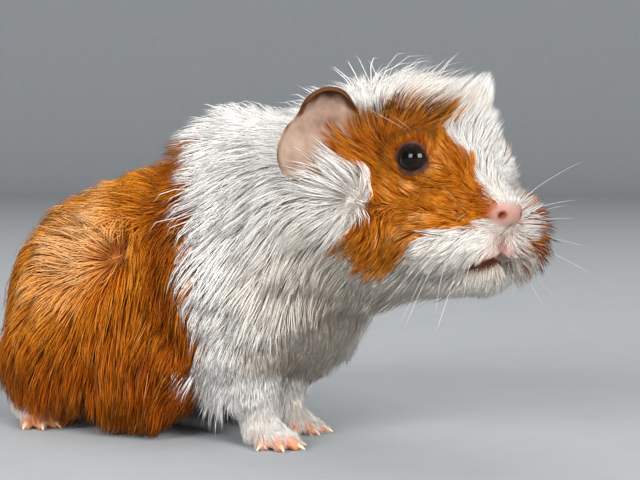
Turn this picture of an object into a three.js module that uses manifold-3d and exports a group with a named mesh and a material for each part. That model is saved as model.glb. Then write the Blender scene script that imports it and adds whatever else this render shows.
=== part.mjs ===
// A life-size guinea pig with a long rough coat, standing up on its front feet with its head raised
// and its hindquarters settled. Each solid runs out to the tips of the coat.
//
// Millimetres. +X points the way the body faces, +Y to the animal's left and +Z up. While it is
// built, the origin is on the floor between the front feet; the exported group then moves it under
// the middle of the animal.
//
// The coat is a rounded field: a function of a point that is below zero inside the coat, made by
// running ellipsoids and rounded cones together. A line passes through the body, and a sphere's
// vertices are sent out from that line to where the field is zero. That one closed shape is then
// parted into the animal's regions with thin cuts.

import * as THREE from "three";
import { mergeVertices } from "three/addons/utils/BufferGeometryUtils.js";
import Module from "manifold-3d";

const wasm = await Module();
wasm.setup();

const vec = (x = 0, y = 0, z = 0) => new THREE.Vector3(x, y, z);

// ---- Driving dimensions, in millimetres and degrees

const GAP = 0.3; // left between neighbouring pieces
const FLAT_DEPTH = 0.5; // taken off the soles, which rest on the floor

const HEAD_TURN = -5; // about the vertical, towards the right
const NECK_PIVOT = vec(15, 0, 85); // the head turns about this point
const NOSE_REACH = 72.9; // from the pivot forward to the tip of the nose
const NOSE_HEIGHT = 77;

// Places on the head are given in its own frame: back from the nose's tip, to the side, and up.
const NOSE = { middle: [-4.6, 0, -0.2], halfSize: [4.6, 6.9, 5.4] };
const NOSTRIL = { middle: [-0.9, 4.4, 0.2], halfSize: [1.5, 1.5, 2] };
const EYE = { middle: [-24, 16, 16], radius: 5.3 };
const EAR = { root: [-43.5, 17, 25], length: 26, width: 30, thickness: 3, cup: 5, fold: 18, droop: 2 };
const EAR_OUTWARD = [-0.62, 0.76, -0.18]; // the ear's length runs back, out and a little down
const EAR_FACING = [0.72, 0.55, 0.35]; // and its hollow looks forward, out and up
const MOUTH = { corner: [-5, 0, -14.5], down: [0.2, 0, -1] };
const MUZZLE_BEGINS = -17;

const BODY_SOFTNESS = 4; // how softly the masses of the body run together
const HEAD_SOFTNESS = 2.2;
const BODY_RINGS = 36;
const BODY_SIDES = 26;

const WRIST_HEIGHT = 8.2;
const FORELEG_RADII = [14, 9.5, 6.6]; // at the elbow, half-way and the wrist
const FOREFOOT = { radii: [6.4, 5], pad: 5, toes: [5, 7.5, 7.5, 5], fan: [60, 20, -14, -52], start: 2.5 };
const HINDFOOT = { radii: [5.2, 5.6], pad: 18.9, toes: [8, 9.5, 8], fan: [26, 0, -26], start: 3 };
const HEEL_HEIGHT = 5.2;
const PAD_HEIGHT = 4.3;
const TOE_RADIUS = 2.1;
const KNUCKLE_RISE = 1.3;
const CLAW = { length: 4.6, radii: [0.85, 0.7, 0.3], drop: 1 };

const LIMBS = {
  right: {
    sign: -1,
    elbow: vec(-12, -17, 36),
    wrist: vec(-4, -14),
    aim: -12, // of the front foot
    heel: vec(-110, -21),
    hindAim: -33,
  },
  left: {
    sign: 1,
    elbow: vec(-20, 17, 36),
    wrist: vec(-19.5, 13.5),
    aim: 4,
    heel: vec(-110, 21),
    hindAim: 31,
  },
};
const SIDES = Object.keys(LIMBS);

// ---- Fields

// An ellipsoid with half-axes rx, ry and rz.
function blob(x, y, z, rx, ry, rz) {
  return (p) => {
    const [dx, dy, dz] = [p.x - x, p.y - y, p.z - z];
    const scaled = Math.hypot(dx / rx, dy / ry, dz / rz);
    const slope = Math.hypot(dx / rx ** 2, dy / ry ** 2, dz / rz ** 2);
    return slope > 0 ? (scaled * (scaled - 1)) / slope : -Math.min(rx, ry, rz);
  };
}

// The same ellipsoid on the right and on the left.
const pair = (x, y, z, rx, ry, rz) => [blob(x, -y, z, rx, ry, rz), blob(x, y, z, rx, ry, rz)];

// A rounded cone from one point to another.
function limb(from, to, fromRadius, toRadius) {
  const along = to.clone().sub(from);
  return (p) => {
    const t = THREE.MathUtils.clamp(p.clone().sub(from).dot(along) / along.lengthSq(), 0, 1);
    const centre = from.clone().addScaledVector(along, t);
    return p.distanceTo(centre) - THREE.MathUtils.lerp(fromRadius, toRadius, t);
  };
}

// Several fields run together, with a fillet of about `softness`.
function blended(softness, fields) {
  return (p) => {
    const sum = fields.reduce((total, field) => total + Math.exp(-field(p) / softness), 0);
    return -softness * Math.log(sum);
  };
}

const grown = (field, by) => (p) => field(p) - by;

// ---- The head's frame: origin at the tip of the nose, +X straight out of the nose

const headTurn = THREE.MathUtils.degToRad(HEAD_TURN);
const noseTip = vec(NOSE_REACH, 0, 0).applyAxisAngle(vec(0, 0, 1), headTurn).add(NECK_PIVOT);
const headFrame = new THREE.Matrix4().makeRotationZ(headTurn).setPosition(noseTip.setZ(NOSE_HEIGHT));
const headFrameInverse = headFrame.clone().invert();
const onHead = (x, y, z) => vec(x, y, z).applyMatrix4(headFrame);
const headward = (x, y, z) => vec(x, y, z).transformDirection(headFrame);

// ---- The coat's masses, each with its middle and half-axes or radii

const headMasses = blended(HEAD_SOFTNESS, [
  blob(-45, 0, 9, 24, 23, 22), // skull
  blob(-47, 0, 30, 23, 14, 13), // the raised hair of the crown
  blob(-27, 8, 30, 12, 11, 11), // the forelock, which falls to the left
  limb(vec(-30, 0, 12), vec(-9, 0, 3), 16, 7), // bridge of the nose
  ...pair(-27, 12, 18, 10, 8, 7), // brows
  ...pair(-20, 8, 11, 9, 9, 9), // the fur before the eyes
  ...pair(-36, 13, -4, 21, 15, 18), // cheeks
  ...pair(-16, 15, -6, 12, 12, 12), // the long hair beside the muzzle
  ...pair(-14, 7, -9, 11, 10, 9), // upper lips
  blob(-20, 0, -17, 14, 11, 8), // chin
]);

const coat = blended(BODY_SOFTNESS, [
  blob(-83, 0, 44, 41.5, 40, 39), // rump
  blob(-56, 0, 50, 44, 42, 41.5), // belly and loin
  blob(-16, 0, 60, 38, 38, 43), // shoulders
  blob(-25, 0, 90, 16.5, 20, 23), // the mane's crest over the withers
  blob(2, 0, 50, 20, 22, 22), // breast
  limb(vec(4, 0, 62), onHead(-38, 0, -11), 22, 18), // throat
  limb(vec(-6, 0, 78), vec(32, -1, 84), 31, 28), // neck
  ...pair(-86, 26, 26, 27, 17, 20), // haunches
  ...pair(-48, 24, 26, 32, 17, 19), // the skirt of long hair along the flanks
  ...pair(-12, 18, 42, 20, 15, 24), // upper arms
  (p) => headMasses(p.clone().applyMatrix4(headFrameInverse)),
]);

// ---- Shapes

// How far from `origin` along `direction` the field is left for good.
function reach(field, origin, direction, farthest) {
  const step = farthest / 50;
  const at = (r) => field(origin.clone().addScaledVector(direction, r));
  let inside = farthest;
  while (inside > 0 && at(inside) > 0) inside -= step;
  let outside = inside + step;
  for (let halving = 0; halving < 18; halving++) {
    const middle = (inside + outside) / 2;
    if (at(middle) > 0) outside = middle;
    else inside = middle;
  }
  return inside;
}

// The surface where a field is zero, reached from a line inside it. The sphere's +Y pole becomes the
// line's far end. `caps` are the shares of the rings that its rounded far and near ends take, and
// `crowd` above 1 draws the rings towards the far end.
function wrapped(field, points, rings, sides, { caps = [0.25, 0.25], crowd = 1, farthest = 80 } = {}) {
  const line = new THREE.CatmullRomCurve3(points);
  const geometry = new THREE.SphereGeometry(1, sides, rings);
  const position = geometry.getAttribute("position");
  for (let i = 0; i < position.count; i++) {
    const v = vec().fromBufferAttribute(position, i);
    const along = Math.acos(THREE.MathUtils.clamp(v.y, -1, 1)) / Math.PI; // 0 at the far pole
    const left = THREE.MathUtils.clamp((along - caps[0]) / (1 - caps[0] - caps[1]), 0, 1);
    const t = 1 - left ** crowd;
    const tangent = line.getTangent(t);
    const across = vec(0, 0, 1).cross(tangent).normalize();
    const up = tangent.clone().cross(across);
    const around = Math.atan2(v.z, v.x);
    const farLean = Math.max(1 - along / caps[0], 0);
    const nearLean = Math.max(1 - (1 - along) / caps[1], 0);
    const lean = (Math.PI / 2) * (farLean - nearLean);
    const direction = up.multiplyScalar(Math.cos(around)).addScaledVector(across, Math.sin(around));
    direction.multiplyScalar(Math.cos(lean)).addScaledVector(tangent, Math.sin(lean));
    const start = line.getPoint(t);
    const end = start.clone().addScaledVector(direction, reach(field, start, direction, farthest));
    position.setXYZ(i, end.x, end.y, end.z);
  }
  return solid(geometry);
}

// A geometry as a solid that can be joined and cut.
function solid(geometry) {
  const bare = geometry.clone();
  bare.deleteAttribute("normal");
  bare.deleteAttribute("uv");
  const merged = mergeVertices(bare, 1e-3);
  return new wasm.Manifold(
    new wasm.Mesh({
      numProp: 3,
      vertProperties: new Float32Array(merged.attributes.position.array),
      triVerts: new Uint32Array(merged.index.array),
    }),
  );
}

// A limb through several points, with a radius at each.
function bone(points, radii, rings, sides) {
  const pieces = points.slice(1).map((to, i) => limb(points[i], to, radii[i], radii[i + 1]));
  const widest = Math.max(...radii);
  return wrapped(blended(widest / 10, pieces), points, rings, sides, { farthest: widest * 2 });
}

function ball(centre, [rx, ry, rz], rings = 8, sides = 12) {
  const geometry = new THREE.SphereGeometry(1, sides, rings);
  geometry.scale(rx, ry, rz).translate(centre.x, centre.y, centre.z);
  return solid(geometry);
}

// Everything beyond a plane, on the side its normal points to, half a gap away from it.
function beyond(at, normal) {
  const size = 600;
  const box = new THREE.BoxGeometry(size, size, size);
  const unit = normal.clone().normalize();
  box.applyQuaternion(new THREE.Quaternion().setFromUnitVectors(vec(0, 0, 1), unit));
  const centre = at.clone().addScaledVector(unit, size / 2 + GAP / 2);
  return solid(box.translate(centre.x, centre.y, centre.z));
}

const joined = (shapes) => shapes.reduce((all, shape) => all.add(shape));
const cutBy = (shape, cutters) => cutters.reduce((left, cutter) => left.subtract(cutter), shape);

// A level direction, `degrees` round from straight ahead towards the left.
const heading = (degrees) => vec(1, 0, 0).applyAxisAngle(vec(0, 0, 1), THREE.MathUtils.degToRad(degrees));

// ---- Materials and nodes

const finish = (color, roughness) => new THREE.MeshStandardMaterial({ color, roughness, metalness: 0 });
const gingerCoat = finish("#b5651d", 0.85);
const whiteCoat = finish("#e9e6e0", 0.85);
const pinkSkin = finish("#d99a86", 0.6);
const earSkin = finish("#b58a73", 0.6);
const darkEye = finish("#0b0a0a", 0.05);
const clawHorn = finish("#d8c7ae", 0.4);

const animal = new THREE.Group();

function addNode(name, shape, material) {
  const { vertProperties, triVerts } = shape.getMesh();
  const geometry = new THREE.BufferGeometry();
  geometry.setAttribute("position", new THREE.Float32BufferAttribute(vertProperties, 3));
  geometry.setIndex(new THREE.Uint32BufferAttribute(triVerts, 1));
  const mesh = new THREE.Mesh(geometry, material);
  mesh.name = name;
  animal.add(mesh);
}

// ---- The body and head in one

const bodyLine = [
  vec(-86, 0, 42),
  vec(-50, 0, 48),
  vec(-14, 0, 60),
  vec(18, 0, 76),
  onHead(-44, 0, 4),
  onHead(-15, 0, -6),
];
const bodyEnds = { caps: [0.25, 0.18], crowd: 1.25 };
const wholeBody = wrapped(coat, bodyLine, BODY_RINGS, BODY_SIDES, bodyEnds);
const bodyWithGap = wrapped(grown(coat, GAP), bodyLine, BODY_RINGS, BODY_SIDES, bodyEnds);

// ---- Nose, eyes and ears

function noseShape(by = 0) {
  const whole = ball(onHead(...NOSE.middle), NOSE.halfSize.map((half) => half + by), 10, 14);
  const [x, y, z] = NOSTRIL.middle;
  const nostrils = [-y, y].map((side) => ball(onHead(x, side, z), NOSTRIL.halfSize, 6, 8));
  return by > 0 ? whole : cutBy(whole, nostrils);
}

function eyeShape(sign, by = 0) {
  const [x, y, z] = EYE.middle;
  return ball(onHead(x, sign * y, z), Array(3).fill(EYE.radius + by));
}

// An ear is a petal: a flattened ball, narrower at its root, cupped across its width and drooping to
// its tip, with its upper rim folded forward.
function earShape(sign) {
  const geometry = new THREE.SphereGeometry(1, 20, 10);
  const position = geometry.getAttribute("position");
  for (let i = 0; i < position.count; i++) {
    const v = vec().fromBufferAttribute(position, i);
    const lengthwise = (v.y + 1) / 2; // 0 at the root, 1 at the tip
    const across = -v.x * (0.62 + 0.38 * Math.sin(0.9 * Math.PI * lengthwise));
    const fold = Math.max(across - 0.35, 0) ** 2;
    const bend = EAR.fold * fold - EAR.cup * across ** 2 - EAR.droop * lengthwise ** 2;
    const half = (across - fold / 2) * (EAR.width / 2);
    position.setXYZ(i, EAR.length * lengthwise, half, (EAR.thickness / 2) * v.z + bend);
  }
  const onSide = ([x, y, z]) => vec(x, sign * y, z);
  const outward = onSide(EAR_OUTWARD).normalize();
  const facing = onSide(EAR_FACING).projectOnPlane(outward).normalize();
  const upward = facing.clone().cross(outward).multiplyScalar(-sign);
  const place = new THREE.Matrix4().makeBasis(outward, upward, facing).setPosition(onSide(EAR.root));
  geometry.applyMatrix4(headFrame.clone().multiply(place));
  if (sign > 0) geometry.setIndex([...geometry.index.array].reverse());
  return solid(geometry);
}

addNode("nose", noseShape(), pinkSkin);
for (const side of SIDES) {
  const { sign } = LIMBS[side];
  addNode(`eye_${side}`, eyeShape(sign), darkEye);
  addNode(`ear_${side}`, cutBy(earShape(sign), [bodyWithGap]), earSkin);
}

// ---- Feet and front legs

// A toe rises to its knuckle and comes down on its tip.
function toeShape(root, ahead, length) {
  const knuckle = root.clone().addScaledVector(ahead, length / 2).setZ(TOE_RADIUS + KNUCKLE_RISE);
  const tip = root.clone().addScaledVector(ahead, length).setZ(TOE_RADIUS);
  const radii = [1.1, 1.05, 0.85].map((share) => share * TOE_RADIUS);
  return bone([root, knuckle, tip], radii, 5, 7);
}

// A claw leaves the end of its toe and bends down to its point.
function clawShape(root, ahead, length, by = 0) {
  const start = root.clone().addScaledVector(ahead, length + TOE_RADIUS / 3).setZ(TOE_RADIUS + 0.4);
  const middle = start.clone().addScaledVector(ahead, CLAW.length / 2);
  const point = start.clone().addScaledVector(ahead, CLAW.length);
  point.z -= CLAW.drop;
  return bone([start, middle, point], CLAW.radii.map((radius) => radius + by), 5, 6);
}

// A foot is a sole from the heel to the pad, with toes that spread like a fan and a claw on each.
function addFoot(name, { radii, pad, toes, fan, start }, { heel, aim, sign }, cutters) {
  const padMiddle = heel.clone().addScaledVector(heading(aim), pad).setZ(PAD_HEIGHT);
  const sole = bone([heel.clone().setZ(HEEL_HEIGHT), padMiddle], radii, 6, 10);
  const digits = toes.map((length, i) => {
    const ahead = heading(aim + sign * fan[i]);
    return { root: padMiddle.clone().addScaledVector(ahead, start), ahead, length };
  });
  const foot = joined([sole, ...digits.map(({ root, ahead, length }) => toeShape(root, ahead, length))]);
  const sockets = digits.map(({ root, ahead, length }) => clawShape(root, ahead, length, GAP));
  const aboveFloor = beyond(vec(0, 0, FLAT_DEPTH - GAP / 2), vec(0, 0, 1));
  addNode(name, cutBy(foot.intersect(aboveFloor), [...sockets, ...cutters]), pinkSkin);
  digits.forEach(({ root, ahead, length }, i) => {
    addNode(`${name}_claw_${i + 1}`, clawShape(root, ahead, length), clawHorn);
  });
}

for (const side of SIDES) {
  const { sign, elbow, wrist, aim, heel, hindAim } = LIMBS[side];
  const aboveWrist = beyond(vec(0, 0, WRIST_HEIGHT), vec(0, 0, 1));
  const ankle = wrist.clone().setZ(HEEL_HEIGHT);
  const leg = bone([elbow, elbow.clone().lerp(ankle, 0.45), ankle], FORELEG_RADII, 12, 14);
  addNode(`foreleg_${side}`, leg.intersect(aboveWrist).subtract(bodyWithGap), whiteCoat);
  addFoot(`forefoot_${side}`, FOREFOOT, { heel: wrist, aim, sign }, [aboveWrist, bodyWithGap]);
  addFoot(`hindfoot_${side}`, HINDFOOT, { heel, aim: hindAim, sign }, [bodyWithGap]);
}

// ---- The body and head, parted

const thighShape = (sign, by) => ball(vec(-84, sign * 36, 26), [25 + by, 15 + by, 25 + by], 10, 14);
const signs = SIDES.map((side) => LIMBS[side].sign);
const hollowed = cutBy(wholeBody, [noseShape(GAP), ...signs.map((sign) => eyeShape(sign, GAP))]);
for (const side of SIDES) {
  addNode(`thigh_${side}`, hollowed.intersect(thighShape(LIMBS[side].sign, -GAP / 2)), gingerCoat);
}

// Each region ends at a plane, from the rump forward.
const regions = [
  { name: "rump", at: vec(-64, 0, 40), normal: vec(1, 0, 0), material: gingerCoat },
  { name: "trunk", at: vec(-30, 0, 60), normal: vec(1, 0, 0.25), material: gingerCoat },
  { name: "shoulders", at: vec(12, 0, 70), normal: vec(1, 0, 0.1), material: whiteCoat },
  { name: "neck", at: onHead(-50, 0, 0), normal: headward(1, 0, 0.4), material: whiteCoat },
];
let rest = cutBy(hollowed, signs.map((sign) => thighShape(sign, GAP / 2)));
for (const { name, at, normal, material } of regions) {
  addNode(name, rest.intersect(beyond(at, normal.clone().negate())), material);
  rest = rest.intersect(beyond(at, normal));
}

// The jaw is under a plane that runs back and down from the mouth, and the muzzle is before the eyes.
const mouth = onHead(...MOUTH.corner);
const down = headward(...MOUTH.down);
const ahead = headward(1, 0, 0);
const behind = headward(-1, 0, 0);
const upperHead = rest.intersect(beyond(mouth, down.clone().negate()));
addNode("jaw", rest.intersect(beyond(mouth, down)), whiteCoat);
addNode("muzzle", upperHead.intersect(beyond(onHead(MUZZLE_BEGINS, 0, 0), ahead)), whiteCoat);
addNode("head", upperHead.intersect(beyond(onHead(MUZZLE_BEGINS, 0, 0), behind)), gingerCoat);

// ---- The animal over its own origin, with its soles on the floor

const box = new THREE.Box3().setFromObject(animal);
const middle = box.getCenter(vec());
animal.position.set(-middle.x, -middle.y, -box.min.z);
const part = new THREE.Group();
part.add(animal);

export default part;
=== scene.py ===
# %% [markdown]
# # A long-haired guinea pig
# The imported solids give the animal's outline, out to the tips of its coat. Here one skin goes
# inside them, with lids, nose, mouth, ears, toes and claws, and some 87,000 small tufts of hair
# are grown from it. Everything is worked out in millimetres in the solids' own frame, whose origin
# lies between the front feet, and is moved and made metres when a mesh is written.

import math

import bmesh
import bpy
import numpy as np
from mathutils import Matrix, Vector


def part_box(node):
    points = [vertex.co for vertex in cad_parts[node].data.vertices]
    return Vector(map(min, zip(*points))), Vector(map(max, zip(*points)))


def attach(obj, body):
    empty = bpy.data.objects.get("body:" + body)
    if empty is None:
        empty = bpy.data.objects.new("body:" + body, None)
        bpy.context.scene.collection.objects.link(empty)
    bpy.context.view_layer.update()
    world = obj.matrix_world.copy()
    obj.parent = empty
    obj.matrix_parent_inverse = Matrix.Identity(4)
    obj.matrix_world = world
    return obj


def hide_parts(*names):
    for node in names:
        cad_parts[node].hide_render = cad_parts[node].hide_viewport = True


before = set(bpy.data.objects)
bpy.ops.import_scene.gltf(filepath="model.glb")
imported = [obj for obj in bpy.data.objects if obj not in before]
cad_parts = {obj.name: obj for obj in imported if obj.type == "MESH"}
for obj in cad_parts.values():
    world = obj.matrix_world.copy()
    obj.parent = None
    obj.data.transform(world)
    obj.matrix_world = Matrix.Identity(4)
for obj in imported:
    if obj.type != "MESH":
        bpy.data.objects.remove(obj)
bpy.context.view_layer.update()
MM = 0.001
BATCH = 20000  # points worked out at a time, to spare memory
SIDES = (("right", -1), ("left", 1))
print("nodes in the frame:", len(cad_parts))

# %% [markdown]
# The head has a frame of its own: its origin is the tip of the nose and +X points out of the nose.
# It is turned a few degrees to the right. The solids were moved so that their box stands on the
# origin, and the eyes, which are plain balls, tell by how much.

# %% The head's frame and the move from the solids' own origin
def unit(vectors):
    """Each vector divided by its length."""
    return vectors / np.maximum(np.linalg.norm(vectors, axis=-1, keepdims=True), 1e-9)


HEAD_TURN = math.radians(-5)
HEAD_AXES = np.array([
    [math.cos(HEAD_TURN), -math.sin(HEAD_TURN), 0.0],
    [math.sin(HEAD_TURN), math.cos(HEAD_TURN), 0.0],
    [0.0, 0.0, 1.0],
])
NOSE_TIP = np.array([15.0, 0.0, 77.0]) + HEAD_AXES @ np.array([72.9, 0.0, 0.0])
EYE = np.array([-24.0, 16.0, 16.0])
EYE_RADIUS = 5.3


def on_head(points):
    """From the head's frame to the body's: turn, then move to the nose."""
    return np.asarray(points, float) @ HEAD_AXES.T + NOSE_TIP


def from_head(points):
    """From the body's frame to the head's: the other way round."""
    return (np.asarray(points, float) - NOSE_TIP) @ HEAD_AXES


eye_boxes = [np.mean(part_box(f"eye_{side}"), axis=0) / MM for side, _ in SIDES]
MOVE = np.mean(eye_boxes, axis=0) - on_head(EYE * [1, 0, 1])
print("the solids were moved by, mm:", MOVE.round(2))

# %% [markdown]
# The camera stands at the animal's right front, about level with its eyes, with a long lens. The
# floor runs back and curves up into a backdrop of cool grey, so that white fur reads against it.
# One large soft light stands ahead of the animal and a little to its right, a second on its right
# side, and a weak third hangs over its back.

# %% Camera
CAMERA_AT = np.array([374.1, -435.3, 91.7])
CAMERA_DOWN = 2.5  # degrees below level

scene = bpy.context.scene
camera = bpy.data.objects.new("camera", bpy.data.cameras.new("camera"))
scene.collection.objects.link(camera)
scene.camera = camera
camera.data.lens = 99
camera.data.sensor_width = 36
camera.location = (CAMERA_AT + MOVE) * MM
camera.rotation_euler = (math.radians(90 - CAMERA_DOWN), 0, math.atan2(0.643, 0.766))
camera.data.clip_start = 0.01
print("camera at", [round(c, 3) for c in camera.location])


# %% Meshes from arrays
def mesh_of(name, points, quads=(), triangles=()):
    """A mesh of points in metres from arrays of four-cornered and three-cornered faces."""
    quads = np.asarray(quads, np.int32).reshape(-1, 4)
    triangles = np.asarray(triangles, np.int32).reshape(-1, 3)
    mesh = bpy.data.meshes.new(name)
    mesh.vertices.add(len(points))
    mesh.vertices.foreach_set("co", np.asarray(points, np.float32).ravel())
    corners = np.concatenate([quads.ravel(), triangles.ravel()])
    sizes = np.concatenate([np.full(len(quads), 4), np.full(len(triangles), 3)])
    mesh.loops.add(len(corners))
    mesh.loops.foreach_set("vertex_index", corners)
    mesh.polygons.add(len(sizes))
    mesh.polygons.foreach_set("loop_start", np.concatenate([[0], np.cumsum(sizes)[:-1]]).astype(np.int32))
    mesh.update(calc_edges=True)
    mesh.shade_smooth()
    return mesh


def facing_out(mesh):
    """Turns a closed mesh's faces outward."""
    work = bmesh.new()
    work.from_mesh(mesh)
    bmesh.ops.recalc_face_normals(work, faces=work.faces)
    work.to_mesh(mesh)
    work.free()
    return mesh


def piece_of(name, mesh, material):
    """An object at the origin for a mesh."""
    piece = bpy.data.objects.new(name, mesh)
    scene.collection.objects.link(piece)
    mesh.materials.clear()
    mesh.materials.append(material)
    return piece


def placed(points):
    """Millimetres in the body's frame to metres in the world."""
    return (points + MOVE) * MM


def points_of(mesh):
    """A mesh's vertices as an array, in millimetres in the body's frame."""
    points = np.empty(len(mesh.vertices) * 3, np.float32)
    mesh.vertices.foreach_get("co", points)
    return points.reshape(-1, 3).astype(float) / MM - MOVE


def put_points(mesh, points):
    """Writes points back into a mesh."""
    mesh.vertices.foreach_set("co", placed(points).astype(np.float32).ravel())
    mesh.update()


def grid_faces(rows, columns):
    """The four-cornered faces of a grid whose columns close on themselves."""
    row, column = np.meshgrid(np.arange(rows - 1), np.arange(columns), indexing="ij")
    after = (column + 1) % columns
    corners = [row * columns + column, row * columns + after, (row + 1) * columns + after,
               (row + 1) * columns + column]
    return np.stack(corners, -1).reshape(-1, 4)


def capped_faces(rows, columns):
    """A grid's faces, and fans that close it on a pole before its first row and one after its last.
    The poles are the two points after the grid's own."""
    column = np.arange(columns)
    after = (column + 1) % columns
    first = rows * columns
    end = first - columns
    fans = [np.stack([np.full(columns, first), after, column], -1),
            np.stack([np.full(columns, first + 1), end + column, end + after], -1)]
    return grid_faces(rows, columns), np.concatenate(fans)


def tube(path, radii, sides):
    """A round profile carried along a path: point(i, a) = path[i] + radius[i]·(cos a·side + sin a·up),
    closed on a pole at each end."""
    path, radii = np.asarray(path, float), np.asarray(radii, float)
    along = unit(np.gradient(path, axis=0))
    up = unit(np.array([0.0, 0.0, 1.0]) - along * along[:, 2:3] + [1e-4, 0, 0])
    side = np.cross(along, up)
    angle = np.linspace(0, 2 * math.pi, sides, endpoint=False)
    ring = np.cos(angle)[None, :, None] * side[:, None] + np.sin(angle)[None, :, None] * up[:, None]
    points = path[:, None] + radii[:, None, None] * ring
    ends = [path[0] - along[0] * radii[0] * 0.7, path[-1] + along[-1] * radii[-1] * 0.7]
    quads, triangles = capped_faces(len(path), sides)
    return np.concatenate([points.reshape(-1, 3), ends]), quads, triangles


def merged(shapes):
    """Several (points, quads, triangles) as one."""
    points, quads, triangles, start = [], [], [], 0
    for shape in shapes:
        points.append(shape[0])
        quads.append(np.asarray(shape[1], int).reshape(-1, 4) + start)
        triangles.append(np.asarray(shape[2], int).reshape(-1, 3) + start)
        start += len(shape[0])
    return np.concatenate(points), np.concatenate(quads), np.concatenate(triangles)


# %% [markdown]
# ## The coat's outline and the skin under it
# The solids were cut from soft masses that run into each other. The same masses are set down here,
# each with the depth of the coat over it, so that the skin can be found: it is where the outline
# has gone in by the depth. Both are smooth functions of a place, so any number of points can be
# asked at once.

# %% The masses: middle, half-axes and the depth of the coat over each
def on_both_sides(*rows):
    """Each row twice, on the right and on the left."""
    return [(x, sign * y, *rest) for x, y, *rest in rows for sign in (-1, 1)]


HEAD_MASSES = np.array([
    (-45, 0, 9, 24, 23, 22, 4.2),  # skull
    (-47, 0, 30, 23, 14, 13, 8.5),  # the raised hair of the crown
    (-27, 8, 30, 12, 11, 11, 8.0),  # the forelock
    *on_both_sides(
        (-27, 12, 18, 10, 8, 7, 2.4),  # brows
        (-20, 8, 11, 9, 9, 9, 1.8),  # before the eyes
        (-36, 13, -4, 21, 15, 18, 4.0),  # cheeks
        (-16, 15, -6, 12, 12, 12, 4.2),  # beside the muzzle
        (-14, 7, -9, 11, 10, 9, 2.0),  # upper lips
    ),
    (-20, 0, -17, 14, 11, 8, 3.0),  # chin
])
HEAD_RODS = np.array([(-30, 0, 12, -9, 0, 3, 16, 7, 1.6)])  # the bridge of the nose
BODY_MASSES = np.array([
    (-83, 0, 44, 41.5, 40, 39, 10),  # rump
    (-56, 0, 50, 44, 42, 41.5, 10),  # belly and loin
    (-16, 0, 60, 38, 38, 43, 10),  # shoulders
    (-25, 0, 90, 16.5, 20, 23, 12),  # the mane's crest
    (2, 0, 50, 20, 22, 22, 8),  # breast
    *on_both_sides(
        (-86, 26, 26, 27, 17, 20, 8),  # haunches
        (-48, 24, 26, 32, 17, 19, 9),  # the long hair along the flanks
        (-12, 18, 42, 20, 15, 24, 6),  # upper arms
    ),
])
BODY_RODS = np.array([
    (4, 0, 62, *on_head([-38, 0, -11]), 22, 18, 8),  # throat
    (-6, 0, 78, 32, -1, 84, 31, 28, 9.5),  # neck
])
HEAD_SOFTNESS = 2.2
BODY_SOFTNESS = 4.0


# %% Distances from the masses
def from_masses(points, rows):
    """About how far each point lies outside each ellipsoid: with s = (p - middle)/half, it is
    |s|·(|s| - 1) / |s/half|."""
    scaled = (points[:, None, :] - rows[None, :, :3]) / rows[None, :, 3:6]
    reach = np.linalg.norm(scaled, axis=2)
    slope = np.linalg.norm(scaled / rows[None, :, 3:6], axis=2)
    return reach * (reach - 1) / np.maximum(slope, 1e-9)


def from_rods(points, rows):
    """How far each point lies outside each tapered rod: its distance from the rod's line less the
    rod's radius there."""
    start, run = rows[:, :3], rows[:, 3:6] - rows[:, :3]
    share = np.clip(((points[:, None] - start) * run).sum(2) / (run * run).sum(1), 0, 1)
    off = points[:, None] - start - share[..., None] * run
    return np.linalg.norm(off, axis=2) - (rows[:, 6] + share * (rows[:, 7] - rows[:, 6]))


def run_together(fields, softness):
    """One field from several, softly the lowest: -k·log(sum of exp(-f/k))."""
    low = fields.min(1)
    return low - softness * np.log(np.exp((low[:, None] - fields) / softness).sum(1))


def shares_of(fields, softness):
    """How much each field has to do with each point, adding up to 1."""
    weight = np.exp((fields.min(1)[:, None] - fields) / softness)
    return weight / weight.sum(1, keepdims=True)


# %% [markdown]
# Legs and feet come in as tapered rods, thinner than the solids' by their short fur. The coat is
# thin round the nose, the eyes and the mouth, where the skin comes to the surface.

# %% Legs, feet and bare places
LIMBS = {  # elbow, wrist, aim of the front foot, heel, aim of the hind foot
    "right": ((-12, -17, 36), (-4, -14), -12, (-110, -21), -33),
    "left": ((-20, 17, 36), (-19.5, 13.5), 4, (-110, 21), 31),
}
FEET = {  # radii of the sole, its length, the toes' lengths, their spread and where they start
    "fore": ((5.6, 4.5), 5.0, (5, 7.5, 7.5, 5), (60, 20, -14, -52), 2.5),
    "hind": ((4.6, 5.0), 18.9, (8, 9.5, 8), (26, 0, -26), 3.0),
}
TOE_RADII = (2.2, 2.15, 1.7)
TOE_TIP, TOE_RISE, HEEL_HEIGHT, PAD_HEIGHT, FLOOR = 2.1, 1.3, 5.2, 4.3, 0.5
LEG_RADII = (11.4, 7.2, 4.5)


def toes_of(side, kind):
    """The heel and the pad of one foot, and (root, knuckle, tip, way) for each of its toes."""
    _, wrist, aim, heel, hind_aim = LIMBS[side]
    _, reach, lengths, fan, start = FEET[kind]
    sign = -1 if side == "right" else 1
    at, angle = (wrist, aim) if kind == "fore" else (heel, hind_aim)
    ahead = np.array([math.cos(math.radians(angle)), math.sin(math.radians(angle)), 0])
    heel_at = np.array([*at, HEEL_HEIGHT])
    pad = heel_at + ahead * reach
    pad[2] = PAD_HEIGHT
    toes = []
    for length, spread in zip(lengths, fan):
        turn = math.radians(angle + sign * spread)
        way = np.array([math.cos(turn), math.sin(turn), 0])
        root = pad + way * start
        knuckle, tip = root + way * length / 2, root + way * length
        knuckle[2], tip[2] = TOE_TIP + TOE_RISE, TOE_TIP
        toes.append((root, knuckle, tip, way))
    return heel_at, pad, toes


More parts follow.
